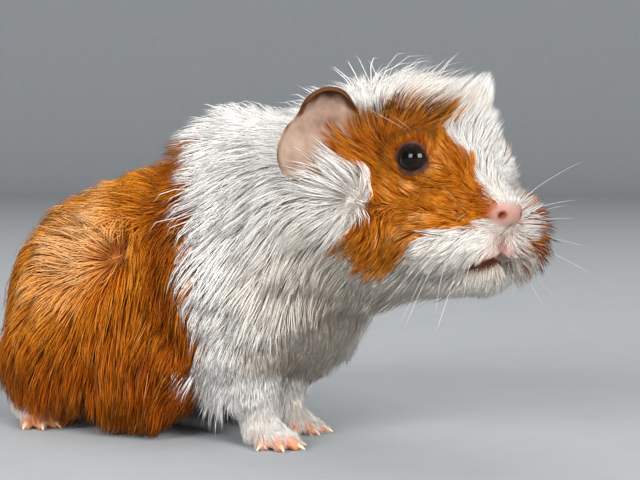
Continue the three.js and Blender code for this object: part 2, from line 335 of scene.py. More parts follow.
leg_rods, foot_rods = [], []
for side, sign in SIDES:
    elbow, wrist = np.array(LIMBS[side][0], float), np.array([*LIMBS[side][1], HEEL_HEIGHT])
    middle = elbow + (wrist - elbow) * 0.45
    leg_rods += [(*elbow, *middle, *LEG_RADII[:2]), (*middle, *wrist, *LEG_RADII[1:])]
    leg_rods += [(-92, sign * 22, 24, -107, sign * 21, 8, 10, 5)]  # the hind leg's shank
    for kind in FEET:
        heel_at, pad, toes = toes_of(side, kind)
        foot_rods.append((*heel_at, *pad, *FEET[kind][0]))
        for root, knuckle, tip, _ in toes:
            foot_rods += [(*root, *knuckle, *TOE_RADII[:2]), (*knuckle, *tip, *TOE_RADII[1:])]
leg_rods, foot_rods = np.array(leg_rods), np.array(foot_rods)
NOSE_PAD = np.array([(-3.4, 0, 0.1, 4.1, 6.6, 4.1)])
HEAD_CORE = np.array([(-52, 0, 6, -17, 0, -4, 13, 8.5)])  # fills the skin's middle
LEG_COAT, FOOT_COAT = 2.6, 0.7
WAIST = -60  # x between the forelegs and the hind legs
WHORL = (-2, -26, 96)  # bare middle of the whorl behind the cheek
BARE = [  # middle in the head's frame, how much of the coat goes, and how far round
    ((-4.6, 0, -0.2), 0.9, 8.0),
    ((-5, 0, -12), 0.7, 8.0),
    *[((-24 + 1, s * 18, 16), 0.65, 8.0) for s in (-1, 1)],
]


# %% Height over the skin
def survey_some(points):
    """Height over the skin, depth of the coat there, and the shares of head, legs and feet."""
    inside = from_head(points)
    head = np.hstack([from_masses(inside, HEAD_MASSES), from_rods(inside, HEAD_RODS)])
    body = np.hstack([from_masses(points, BODY_MASSES), from_rods(points, BODY_RODS)])
    head_depth = shares_of(head, 3.0) @ np.concatenate([HEAD_MASSES[:, -1], HEAD_RODS[:, -1]])
    body_depth = shares_of(body, 6.0) @ np.concatenate([BODY_MASSES[:, -1], BODY_RODS[:, -1]])
    for middle, share, reach in BARE:
        gap = ((inside - np.array(middle)) ** 2).sum(1)
        head_depth = head_depth * (1 - share * np.exp(-gap / reach**2))
    head_field = run_together(head, HEAD_SOFTNESS)
    outline = run_together(np.hstack([body, head_field[:, None]]), BODY_SOFTNESS)
    headness = 1 / (1 + np.exp((head_field - run_together(body, BODY_SOFTNESS)) / 4))
    depth = headness * head_depth + (1 - headness) * body_depth
    height = np.stack([outline + depth, from_masses(inside, NOSE_PAD)[:, 0],
                       from_rods(inside, HEAD_CORE)[:, 0]], 1)
    height = run_together(height, 1.4)
    legs = run_together(from_rods(points, leg_rods), 1.5)
    feet = run_together(from_rods(points, foot_rods), 0.6)
    parts = np.stack([height, legs, feet], 1)
    share = shares_of(parts, 1.5)
    whole = run_together(np.stack([run_together(parts[:, :2], 2.5), feet], 1), 0.8)
    depth = share @ np.array([0, LEG_COAT, FOOT_COAT]) + share[:, 0] * depth
    return np.column_stack([whole, depth, headness * share[:, 0], share[:, 1], share[:, 2]])


def survey(points):
    """survey_some() on any number of points, a batch at a time to spare memory."""
    return np.concatenate([survey_some(points[i:i + BATCH]) for i in range(0, len(points), BATCH)])


CORNERS = np.array([[1, 1, 1], [1, -1, -1], [-1, 1, -1], [-1, -1, 1]], float)


def rise(points, step=0.2):
    """The survey at each point and the way up from the skin, from four points round it."""
    four = [survey(points + corner * step) for corner in CORNERS]
    way = sum(f[:, :1] * corner for f, corner in zip(four, CORNERS))
    return sum(four) / 4, unit(way), np.linalg.norm(way, axis=1) / (4 * step)


def settle(points):
    """Moves points onto the skin: p - height·way up, twice over."""
    for _ in range(2):
        found, way, steep = rise(points)
        points = points - way * (found[:, 0] / np.clip(steep, 0.5, 2)).clip(-3, 3)[:, None]
    return points


# %% [markdown]
# ## The skin
# The body and head are one surface wrapped round a line through the animal: rays leave the line
# at every angle, swinging round to face back at the rump and forward at the nose, and each stops
# where it leaves the skin. Legs, soles and toes are tubes. A voxel remesh makes one closed skin
# of them, the face and feet are divided finer, and every point is settled onto the skin again.

# %% The line through the body
BODY_LINE = np.array([
    (-86, 0, 42), (-50, 0, 48), (-14, 0, 60), (18, 0, 76), on_head([-44, 0, 4]), on_head([-15, 0, -6]),
])


def along_line(share):
    """A point of the body line and its direction at each share, 0 at the rump, 1 in the muzzle."""
    lengths = np.linalg.norm(np.diff(BODY_LINE, axis=0), axis=1)
    stations = np.concatenate([[0], np.cumsum(lengths)]) / lengths.sum()
    fine = np.linspace(0, 1, 200)
    line = np.stack([np.interp(fine, stations, BODY_LINE[:, k]) for k in range(3)], -1)
    kernel = np.ones(31) / 31
    padded = np.concatenate([2 * line[:1] - line[15:0:-1], line, 2 * line[-1:] - line[-2:-17:-1]])
    line = np.stack([np.convolve(padded[:, k], kernel, "valid") for k in range(3)], -1)
    way = unit(np.gradient(line, axis=0))
    at = [np.stack([np.interp(share, fine, a[:, k]) for k in range(3)], -1) for a in (line, way)]
    return at[0], unit(at[1])


def wrapped(rings, sides, caps=(0.22, 0.16), farthest=85):
    """point(u, a) = line(u) + reach·(-cos(swing)·way + sin(swing)·(cos a·side + sin a·up)), where
    swing goes from 0 to 90 degrees over the first cap and from 90 to 180 over the last, and reach
    is where the ray leaves the skin."""
    u = (np.arange(rings) + 0.5) / rings
    swing = np.interp(u, [0, caps[0], 1 - caps[1], 1], np.radians([0, 90, 90, 180]))
    origin, way = along_line(np.clip((u - caps[0]) / (1 - sum(caps)), 0, 1))
    side = unit(np.cross(way, [0.0, 0.0, 1.0]))
    up = np.cross(side, way)
    angle = np.linspace(0, 2 * math.pi, sides, endpoint=False)
    around = np.cos(angle)[None, :, None] * side[:, None] + np.sin(angle)[None, :, None] * up[:, None]
    ray = -np.cos(swing)[:, None, None] * way[:, None] + np.sin(swing)[:, None, None] * around
    ray = np.concatenate([ray.reshape(-1, 3), [-way[0], way[-1]]])
    start = np.concatenate([np.repeat(origin, sides, 0), [origin[0], origin[-1]]])
    steps = np.linspace(2, farthest, 36)
    inside = np.stack([survey(start + ray * s)[:, 0] < 0 for s in steps], 1)
    last = len(steps) - 1 - np.argmax(inside[:, ::-1], 1)
    near, far = steps[last], steps[np.minimum(last + 1, len(steps) - 1)]
    for _ in range(7):
        middle = (near + far) / 2
        within = survey(start + ray * middle[:, None])[:, 0] < 0
        near, far = np.where(within, middle, near), np.where(within, far, middle)
    return (start + ray * near[:, None], *capped_faces(rings, sides))


# %% One skin
def remeshed(mesh, voxel):
    """A closed mesh with the voxel remesh applied."""
    holder = bpy.data.objects.new("holder", mesh)
    scene.collection.objects.link(holder)
    remesh = holder.modifiers.new("remesh", "REMESH")
    remesh.mode, remesh.voxel_size = "VOXEL", voxel * MM
    made = bpy.data.meshes.new_from_object(holder.evaluated_get(bpy.context.evaluated_depsgraph_get()))
    bpy.data.objects.remove(holder)
    return made


def divided(mesh, chosen, cuts):
    """The mesh with the edges between chosen vertices cut, so that its faces there are finer."""
    work = bmesh.new()
    work.from_mesh(mesh)
    edges = [e for e in work.edges if chosen[e.verts[0].index] and chosen[e.verts[1].index]]
    bmesh.ops.subdivide_edges(work, edges=edges, cuts=cuts, use_grid_fill=True)
    many = [f for f in work.faces if len(f.verts) > 4]
    bmesh.ops.triangulate(work, faces=many)
    work.to_mesh(mesh)
    work.free()
    return mesh


def skin_tubes():
    """The legs and feet as tubes along their rods."""
    shapes = []
    for x0, y0, z0, x1, y1, z1, r0, r1, *_ in np.concatenate([leg_rods, foot_rods]):
        share = np.linspace(0, 1, 7)[:, None]
        path = np.array([x0, y0, z0]) * (1 - share) + np.array([x1, y1, z1]) * share
        shapes.append(tube(path, r0 + (r1 - r0) * share[:, 0], 14))
    return shapes


def from_eye(inside):
    """How far each point is from the middle of the nearer eye."""
    return np.minimum(*[np.linalg.norm(inside - EYE * [1, s, 1], axis=1) for s in (-1, 1)])


shapes = merged([wrapped(110, 84), *skin_tubes()])
skin = remeshed(mesh_of("skin", placed(shapes[0]), *shapes[1:]), 1.35)
points = settle(points_of(skin))
put_points(skin, points)
inside = from_head(points)
face = (from_eye(inside) < 9.5) | ((inside[:, 0] > -11) & (np.abs(inside[:, 1]) < 13))
skin = divided(skin, face, 3)
inside = from_head(points_of(skin))
fine = (np.abs(np.abs(inside[:, 1]) - 4.5) < 2.2) & (np.abs(inside[:, 2]) < 2.6) & (inside[:, 0] > -5)
fine |= (np.abs(inside[:, 1]) < 11) & (np.abs(inside[:, 2] + 15) < 4) & (inside[:, 0] > -15)
skin = divided(skin, fine, 1)
feet = points_of(skin)[:, 2] < 8.5
feet &= survey(points_of(skin))[:, 4] > 0.3
skin = divided(skin, feet, 1)
points = settle(points_of(skin))
points[:, 2] = np.maximum(points[:, 2], FLOOR + 0.05)
print("skin:", len(skin.vertices), "vertices")

# %% [markdown]
# ## Lids, nose and mouth
# Each lid is a ring of skin drawn over the ball of the eye. Seen from the middle of the eye, the
# skin outside the opening stands a lid's thickness off the ball, and inside it drops behind the
# ball's surface. The nostrils are pits shaped like commas, a groove runs down from the nose, and
# the mouth is a slit under the lips.

# %% Shape the face
EYE_WAY = unit(np.array([0.36, 0.92, 0.10]))  # out of the left eye
OPENING = math.radians(49)
LID = 1.0


def round_eye(inside, sign):
    """Each point from the middle of an eye, its distance, and its angle off the eye's way. The
    angle counts for more above, where the lid is hooded, and less at the corners."""
    way = EYE_WAY * [1, sign, 1]
    away = inside - EYE * [1, sign, 1]
    radius = np.linalg.norm(away, axis=1)
    along = away @ way / radius
    tangent = unit(away / radius[:, None] - along[:, None] * way)
    top = unit(np.array([0.12, 0, 1.0]) - way * (way @ [0.12, 0, 1.0]))
    high = tangent @ top
    shape = 0.15 * np.maximum(high, 0) ** 2 + 0.06 * np.maximum(-high, 0) - 0.04 * (1 - high**2) ** 3
    return away, radius, np.arccos(np.clip(along, -1, 1)) + shape


def shape_lids(inside):
    """In each eye's frame a point is radius·direction. radius becomes the larger of its own and
    the ball's plus a lid outside the opening, and less than the ball's inside it."""
    for sign in (-1, 1):
        away, radius, off = round_eye(inside, sign)
        lid = EYE_RADIUS + LID * np.exp(-(((off - OPENING - 0.12) / 0.5) ** 2)) - 0.25
        outer = np.logaddexp(radius / 0.35, lid / 0.35) * 0.35
        open_share = 1 / (1 + np.exp((off - OPENING) / 0.035))
        wanted = outer * (1 - open_share) + (EYE_RADIUS - 0.9) * open_share
        near = (radius < 13) & (off < 1.9)
        fade = np.clip((1.9 - off) / 0.5, 0, 1)
        radius_now = np.where(near, radius + (wanted - radius) * fade, radius)
        inside = EYE * [1, sign, 1] + away * (radius_now / radius)[:, None]
    return inside


def bump_at(inside, middle, half):
    """exp(-|(p - middle)/half|^2), 1 at the middle and fading out."""
    return np.exp(-(((inside - np.array(middle)) / np.array(half)) ** 2).sum(1))


def comma(inside, grow=1.0):
    """The nostrils' share of each point: deep(t)·exp(-(gap/width(t))^2) along a curl that starts as
    a round pit and runs out and up."""
    pit = 0
    for t in np.linspace(0, 1, 15):
        y, z = 4.4 + 1.2 * t, -0.5 - 0.2 * t + 0.9 * t**2
        half, deep = (0.9 - 0.4 * t) * grow, 0.1 + 0.9 * math.exp(-t / 0.25)
        gap = ((np.abs(inside[:, 1]) - y) ** 2 + (inside[:, 2] - z) ** 2) / half**2
        pit = np.maximum(pit, deep * np.exp(-gap))
    return pit * (inside[:, 0] > -5)


def mouth_line(inside):
    """Height over the mouth's slit, which droops from its middle: z + 12.9 + 2.9·(1 - exp(-|y|/4)),
    and the slit's share of each point."""
    off = inside[:, 2] + 12.9 + 2.9 * (1 - np.exp(-np.abs(inside[:, 1]) / 4))
    share = 1 / (1 + np.exp((np.abs(inside[:, 1]) - 9.7) / 0.7)) * (inside[:, 0] > -16)
    return off, share


_, way, _ = rise(points)
inside, way = from_head(points), way @ HEAD_AXES
off, slit = mouth_line(inside)
groove = np.exp(-((inside[:, 1] / 0.7) ** 2)) / (1 + np.exp((inside[:, 2] + 3.6) / 0.4))
groove *= (inside[:, 2] > -13.2) & (inside[:, 0] > -14)
push = -2.2 * comma(inside)
push -= 0.6 * groove + 3.0 * slit * np.exp(-((off / 1.05) ** 2))
push += slit * (0.5 * np.exp(-(((off - 2.3) / 1.0) ** 2)) + 0.15 * np.exp(-(((off + 2.4) / 1.0) ** 2)))
inside = inside + way * push[:, None]
points = on_head(shape_lids(inside))
put_points(skin, points)
print("mouth and nostrils pushed in by up to, mm:", round(-push.min(), 2))

# %% [markdown]
# ## The markings
# Ginger covers the sides of the face and everything behind the shoulders. The patch on the face is
# an outline seen from the side, the same on skin and hair, and its edge wanders a little. On the
# left it lies further forward and lower.

# %% Where the coat is ginger
FACE_PATCH = np.array([
    (-14, 30), (-9, 27), (-5, 20), (-2, 12), (-1, 6), (-1, 3.2), (-1.5, 1), (-2, -0.5),
    (-4, -2.6), (-11.5, -6.5), (-19, -10), (-29, -15.5), (-37, -12.5), (-46, -9), (-49, -6.5),
    (-41, -1), (-39, 3), (-36, 5), (-37, 10), (-41, 13.5), (-45, 16.5), (-51, 20), (-58, 22),
    (-57, 26), (-46, 29.5), (-36, 31), (-28, 30.5),
])


def waves(points, size, seed, layers=3):
    """Smooth noise between about -1 and 1: sines along random ways, each layer half as long."""
    random = np.random.default_rng(seed)
    total = 0
    for layer in range(layers):
        ways = random.normal(size=(4, 3)) * (2 * math.pi / size) * 1.6**layer / 1.7
        total = total + np.sin(points @ ways.T + random.uniform(0, 6.28, 4)).sum(1) / 2.4 / 1.5**layer
    return total / 1.6


def inside_outline(x, z, outline):
    """Signed distance from a closed outline, positive inside it."""
    start, end = outline, np.roll(outline, -1, 0)
    at = np.stack([x, z], -1)[:, None]
    run = end - start
    share = np.clip(((at - start) * run).sum(2) / (run * run).sum(1), 0, 1)
    gap = np.linalg.norm(at - start - share[..., None] * run, axis=2).min(1)
    crosses = (start[:, 1] > z[:, None]) != (end[:, 1] > z[:, None])
    drop = np.where(run[:, 1] == 0, 1e-9, run[:, 1])
    cross_at = start[:, 0] + (z[:, None] - start[:, 1]) * run[:, 0] / drop
    within = (crosses & (x[:, None] < cross_at)).sum(1) % 2
    return gap * (2 * within - 1)


BLAZE = np.array([  # height in the head's frame, half the width of the white stripe on the nose
    (-3, 7.5), (0, 6.3), (3, 5.4), (7, 4.2), (10, 3.6), (15, 4.3), (21, 7.2), (25, 5), (30, 2.5), (34, 6),
])


def ginger_at(points):
    """1 where the hair that grows at a place is ginger, 0 where it is white. The outlines were laid
    on the coat, so each place is first raised to the coat's surface."""
    found, up, _ = rise(points)
    raised = points + up * found[:, 1:2] * 0.8
    inside = from_head(raised)
    left = 1 / (1 + np.exp(-inside[:, 1] / 2))
    x, z = inside[:, 0] - 2 * left * (inside[:, 0] > -30), inside[:, 2] + 7 * left
    z = np.where(inside[:, 2] > 12, inside[:, 2], z)
    on_face = inside_outline(x, z, FACE_PATCH) + 0.7 * waves(points, 6, 11)
    wider = np.interp(inside[:, 2], [-6, -2, 4, 22, 34], [1, 8, 8, 8, 14])
    half = np.interp(inside[:, 2], *BLAZE.T) + left * wider
    off_blaze = np.where(inside[:, 0] > -30, np.abs(inside[:, 1]) - half + 0.5 * waves(points, 4, 13), 9)
    edge = np.interp(points[:, 2], [10, 30, 50, 70, 90, 105], [-6, -7, -8, -8, -18, -32])
    edge = edge - np.interp(points[:, 2], [30, 50], [16, 5]) * (points[:, 1] > 0) + 2 * waves(points, 26, 12)
    behind = (edge - points[:, 0]) * 0.6
    on_face = np.where(inside[:, 0] > -62, np.minimum(on_face, off_blaze) * 1.6, -9)
    limb = np.where(points[:, 0] > WAIST, found[:, 3] + found[:, 4], found[:, 4])
    return (1 - limb) / (1 + np.exp(-np.maximum(on_face, behind)))


# %% [markdown]
# ## Ears
# An ear is a thin petal. Its outline is worked out round a middle, its hollow is deepest near its
# root, and its upper rim rolls forward over the hollow, so that the brown back shows there. Its
# root sits inside the skin, under the hair, and it becomes part of the same skin.

# %% Ears
EAR_ROOT, EAR_MIDDLE = np.array([-43.5, 17, 25.0]), np.array([13.0, 1.0])
EAR_OUTLINE = np.array([  # along the ear from its root, and across it, upwards
    (-2, 0), (0, 4), (2, 8.4), (3.7, 11.2), (6.5, 13.2), (11, 13.5), (15.3, 11.6), (17.8, 9.0),
    (20.3, 6.5), (23.9, 3.9), (26.6, 0), (27.8, -3.5), (27.3, -7), (25, -9.5), (20, -10.5), (14, -9.5),
    (8, -7.5), (2, -5),
])


def ear_frame(sign):
    """Root and axes of an ear in the head's frame: along it, up across it and out of its hollow."""
    flip = np.array([1, sign, 1])
    outward = unit(np.array([-0.62, 0.76, -0.18]) * flip)
    facing = np.array([0.72, 0.55, 0.35]) * flip
    facing = unit(facing - outward * (facing @ outward))
    return EAR_ROOT * flip, outward, np.cross(facing, outward) * sign, facing


def ear_sheet(reach, turn):
    """The middle of the petal at a share of its radius and an angle: radius·reach/0.8, and beyond
    0.8 an arc that rolls forward, with the hollow sunk by 4.5·exp(-gap^2/50) near the root."""
    gap = EAR_OUTLINE - EAR_MIDDLE
    angle = np.arctan2(gap[:, 1], gap[:, 0])
    order = np.argsort(angle)
    fine = np.linspace(-math.pi, math.pi, 181)
    radius = np.interp(fine, angle[order], np.linalg.norm(gap, axis=1)[order], period=2 * math.pi)
    smooth = np.convolve(np.concatenate([radius[-8:-1], radius, radius[1:8]]), np.ones(9) / 9, "same")[7:-7]
    radius = np.interp(turn, fine, smooth)
    roll = 0.16 + 0.84 / (1 + np.exp((np.abs(turn - 1.87) - 0.85) / 0.10))
    over = np.clip((reach - 0.8) / 0.2, 0, 1) * roll * math.radians(165)
    curl = 1.0 + 1.4 * roll
    flat = (radius - curl * np.sin(np.minimum(roll * 2.88, math.pi / 2))) * np.minimum(reach / 0.8, 1)
    flat = flat + curl * np.sin(over)
    along, across = EAR_MIDDLE[0] + flat * np.cos(turn), EAR_MIDDLE[1] + flat * np.sin(turn)
    out = curl * (1 - np.cos(over)) + 2.2 * reach**2 - 0.012 * np.maximum(along - 15, 0) ** 2
    out -= 4.5 * np.exp(-((along - 7) ** 2 + (across - 2) ** 2) / 50)
    out -= 0.55 * np.maximum(4.5 - along, 0) ** 1.6 + 0.055 * np.maximum(1.5 - across, 0) ** 2
    folds = 0.7 * np.sin(across * 0.75 + 0.5 + along * 0.1) * np.exp(-(((along - 9) / 7) ** 2))
    out += folds * (1 - reach**2)
    out += 0.35 * np.sin(along * 0.7 - across * 0.35) * (1 - reach**2)
    return np.stack([along, across, out], -1), over


def ear(sign, rings=64, sides=110, thickness=1.1):
    """point(u, a) = sheet(sin u, a) + thickness/2·cos u^0.6·normal: a petal whose front and back
    meet in a round rim."""
    u = (np.arange(rings) + 0.5) / rings * math.pi
    angle = np.linspace(-math.pi, math.pi, sides, endpoint=False)
    reach, turn = np.meshgrid(np.sin(u), angle, indexing="ij")
    sheet, over = ear_sheet(reach, turn)
    nudge = 0.004
    outer, inner = np.minimum(reach + nudge, 1), np.maximum(reach - nudge, 0)
    rise_r = ear_sheet(outer, turn)[0] - ear_sheet(inner, turn)[0]
    rise_t = ear_sheet(reach, turn + nudge)[0] - ear_sheet(reach, turn - nudge)[0]
    normal = unit(np.cross(rise_r, rise_t))
    lean = (np.sign(np.cos(u)) * np.abs(np.cos(u)) ** 0.6)[:, None, None]
    points = (sheet + normal * thickness / 2 * lean).reshape(-1, 3)
    pole = ear_sheet(np.zeros(1), np.zeros(1))[0]
    points = np.concatenate([points, pole + [0, 0, thickness / 2], pole - [0, 0, thickness / 2]])
    root, outward, upward, facing = ear_frame(sign)
    placed_points = root + points @ np.stack([outward, upward, facing])
    front = np.repeat(np.cos(u) > 0, sides).astype(float)
    over, front = np.append(over.ravel(), [0, 0]), np.append(front, [1, 0])
    paint = np.stack([points[:, 0], points[:, 1], over, front], -1)
    return (on_head(placed_points), *capped_faces(rings, sides)), paint


ears = [ear(sign) for _, sign in SIDES]
print("ears:", sum(len(shape[0]) for shape, _ in ears), "vertices")


# %% Skin's own colours as attributes
def put_attribute(mesh, name, values):
    """A colour attribute of four numbers at each vertex."""
    made = mesh.color_attributes.new(name, "FLOAT_COLOR", "POINT")
    made.data.foreach_set("color", np.asarray(values, np.float32).ravel())


def skin_masks(points):
    """For each point: ginger, bare pink, dark round the eyes and painted shade in and round the nostrils,
    and the mouth's slit, whose dark colour is partly painted shade.
    """
    inside = from_head(points)
    found = survey(points)
    pad = from_masses(inside, NOSE_PAD)[:, 0]
    lip = bump_at(inside, (-5, 0, -9), (6, 5.0, 5.0))
    pink = np.maximum(1 / (1 + np.exp((pad - 0.3) / 0.3)), 0.9 * lip)
    off, slit = mouth_line(inside)
    toes = found[:, 4] / (1 + np.exp((points[:, 2] - 5) / 0.7))
    pink = np.maximum(np.maximum(pink, toes), 0.6 * slit * np.exp(-(((off - 2.2) / 2.4) ** 2)))
    # The mouth's slit, which is painted dark as the shade in the crease.
    mouth = slit * np.exp(-(((off + 0.5) / np.where(off > -0.5, 1.3, 2.4)) ** 2))
    pink = np.maximum(pink, bump_at(points, WHORL, (7, 9, 7)))
    # Painted shade: the nostrils' pits nearly black, with a fainter halo for the shadow of their folds; the
    # ring round the eyes is the lids' own dark skin.
    dark = np.maximum(comma(inside, 0.85), 0.35 * comma(inside, 1.9))
    for sign in (-1, 1):
        _, radius, off = round_eye(inside, sign)
        edge = off - OPENING - 0.25 - 0.05 * waves(points, 5, 15)
        dark = np.maximum(dark, (radius < 9) / (1 + np.exp(edge / 0.12)))
    return np.stack([ginger_at(points), pink, dark, mouth], -1)


def corners_of(mesh):
    """Every face of a mesh as triangles."""
    mesh.calc_loop_triangles()
    triangles = np.empty(len(mesh.loop_triangles) * 3, np.int32)
    mesh.loop_triangles.foreach_get("vertices", triangles)
    return triangles.reshape(-1, 3)


skin_points, skin_triangles = points_of(skin), corners_of(skin)
print("skin:", len(skin_triangles), "triangles")

# %% [markdown]
# ## How the hair lies
# Two tables say which way the hair lies at 177 places, how long it is and how near its tips
# come to the outline of the coat. Between them the way is a mean that leans to the nearest rows.
# The flanks lie alike on both sides, but the crown's hair all sweeps forward and to the left.

# %% The lie of the coat: place, way (tenths), length in mm, share of the coat's depth at the tip
HEAD_LIE = [
    (-3, 0, 7, -5, 5, 7, 3, 0.7), (-2, 0, 4, -6, 2, 7, 2, 0.6), (-3, -4, 3.6, -6, -3, 6, 2, 0.6),
    (-11, 4, 16, -3, 5, 8, 9, 2.2), (-16, 5, 26, 2, 1, 10, 12, 1.5), (-9, 0, 12, -4, 3, 9, 8, 1.8),
    (-13, 2, 21, 1, 5, 9, 14, 2.8), (-14, 7, 22, 1, 6, 7, 13, 2.6), (-10, 8, 15, -3, 5, 8, 10, 1.6),
    (-8, 7, 10, 3, 8, 4, 10, 5), (-6, 6, 5, 3, 7, 5, 10, 7), (-6, 11, 6, 1, 5, 9, 9, 4.5),
    (-8, 13, 8, -1, 5, 9, 9, 3.6), (-11, 11, 12, -2, 8, 6, 10, 1.8), (-15, 9, 28, 3, 5, 8, 14, 1.8),
    (-16, 3, 32, 1, 5, 8, 15, 1.3), (-17, -4, 22, -5, -4, 7, 9, 1.2), (-13, -4, 19, -6, 0, 8, 8, 1.2),
    (-6, -5, 7, -8, -4, 4, 6, 0.8), (-9, -9, 7, -5, -7, 5, 7, 0.8), (-14, -16, 10, -8, -6, 1, 5, 0.8),
    (-6, -8, 4, -7, -7, -1, 8, 0.8), (-9, -17, 4, -6, -8, 1, 9, 0.9), (-16, -23, 4, -10, -2, 0, 9, 0.9),
    (-5, -18, -2, -3, -9, 0, 9, 0.9), (-10, -25, -3, -8, -5, -2, 9, 0.9),
    (-18, -27, -5, -8, 0, -7, 12, 1.3), (-23, -26, -10, -8, 1, -6, 13, 1.4),
    (-24, -19, 21, -6, 3, 7, 4, 0.8), (-20, -17, 21, -2, 5, 8, 5, 0.8),
    (-13, -13, 16, -6, -4, 7, 6, 0.8), (-29, -21, 17, -8, 0, 6, 7, 0.8),
    (-31, -23, 12, -7, 0, 7, 9, 0.9), (-32, -26, 7, -8, 1, 7, 10, 0.9),
    (-39, -21, 22, -8, -5, 4, 12, 2.4), (-41, -21, 17, -7, -6, 4, 13, 2.6),
    (-29, -24, 9, -9, -1, 5, 8, 0.8), (-35, -16, 28, 4, 7, 6, 10, 1.1),
    (-29, -13, 28, 6, 7, 3, 13, 1.1), (-23, -6, 28, 4, 9, 3, 14, 1.2), (-38, -18, 27, 2, 5, 8, 9, 1.1),
    (-32, -15, 29, 6, 7, 4, 13, 1.2), (-26, -10, 29, 6, 8, 2, 14, 1.3), (-22, -5, 31, 6, 9, 2, 15, 1.3),
    (-19, -1, 29, 5, 6, 6, 13, 1.1), (-41, -16, 30, 2, 6, 8, 9, 1), (-37, -12, 35, 6, 7, 3, 18, 0.85),
    (-28, -5, 37, 6, 8, 1, 20, 0.95), (-20, 0, 35, 5, 8, 4, 18, 1.15),
    (-50, -14, 36, 0, 6, 7, 14, 0.95), (-45, -13, 37, 4, 7, 5, 16, 0.85),
    (-42, -27, 12, -4, -5, 7, 16, 2.4), (-45, -27, 8, -6, -6, 5, 18, 3),
    (-48, -27, 12, -6, -6, 5, 18, 3.2), (-55, -28, 9, -6, -6, 5, 18, 3),
    (-62, -29, 5, -8, -3, 4, 17, 1.8), (-39, -27, 7, 10, 2, 0, 11, 1), (-37, -28, 4, 10, 1, -2, 10, 1),
    (-44, -29, 1, 6, 0, -8, 12, 1.1), (-42, -28, 6, 8, -2, 3, 13, 1.6),
    (-47, -29, 4, -4, -1, -8, 14, 1.2), (-50, -29, 7, -6, -6, 5, 18, 3),
    (-47, -26, 17, -4, -6, 6, 14, 2.6), (-28, -27, -2, 4, 0, -9, 10, 0.9),
    (-30, -28, -5, 2, 1, -10, 10, 0.9), (-38, -29, -7, -8, 1, -5, 10, 1),
    (-30, -25, -15, -9, 1, -5, 18, 1), (-23, -20, -18, -9, 3, -4, 16, 1),
    (-54, -25, -12, -9, 2, -5, 18, 1), (-5, -8, -1, -1, -10, -3, 9, 0.9),
    (-3, -12, -6, -1, -10, -2, 11, 1), (-4, -15, -10, -4, -7, -6, 11, 1),
    (-8, -19, -14, -8, -1, -7, 11, 1.1), (-8, -24, -7, -7, -5, -5, 12, 1.1),
    (-7, -12, -16, -8, -1, -6, 6, 0.8), (-9, 20, -3, -1, 10, 1, 12, 2.4),
    (-9, 21, -9, -1, 10, -3, 13, 2.6), (-8, 16, -13, 1, 7, -7, 13, 2.2),
    (-13, 24, -6, -3, 10, -2, 14, 2.6), (-12, 20, -14, -2, 8, -7, 14, 2.2),
    (-10, 10, -20, -1, 5, -8, 11, 1.8), (-8, 5, -19, 0, 3, -9, 8, 1.4), (-5, 11, -7, 1, 9, -4, 9, 2),
    (-5, -4, -17, 2, -3, -9, 5, 2.2), (-5, 3, -17, 2, 3, -9, 5, 2.2), (-8, -8, -18, -1, -4, -9, 7, 1.8),
    (-3, 1, -7, 0, -6, -8, 2.5, 0.4), (-4, -6, 4, -6, -4, 7, 4, 0.6), (-40, 14, 32, 5, 6, 4, 14, 0.8),
    (-52, 12, 32, -2, 5, 5, 14, 0.8), (-30, 17, 28, 6, 4, 5, 12, 0.9), (-45, 0, 42, 5, 7, 3, 18, 0.85),
    (-36, 3, 42, 6, 7, 2, 18, 0.85), (-60, 0, 36, -9, 1, 3, 18, 1.05), (-20, 12, 26, 4, 5, 6, 10, 1.0),
    (-20, 0, -25, -9, 0, -2, 8, 0.9), (-34, 0, -26, -10, 0, -2, 14, 0.9),
    (-30, -14, -21, -9, -1, -4, 14, 1.0), (-12, 0, -20, -5, 0, -8, 6, 0.9),
]
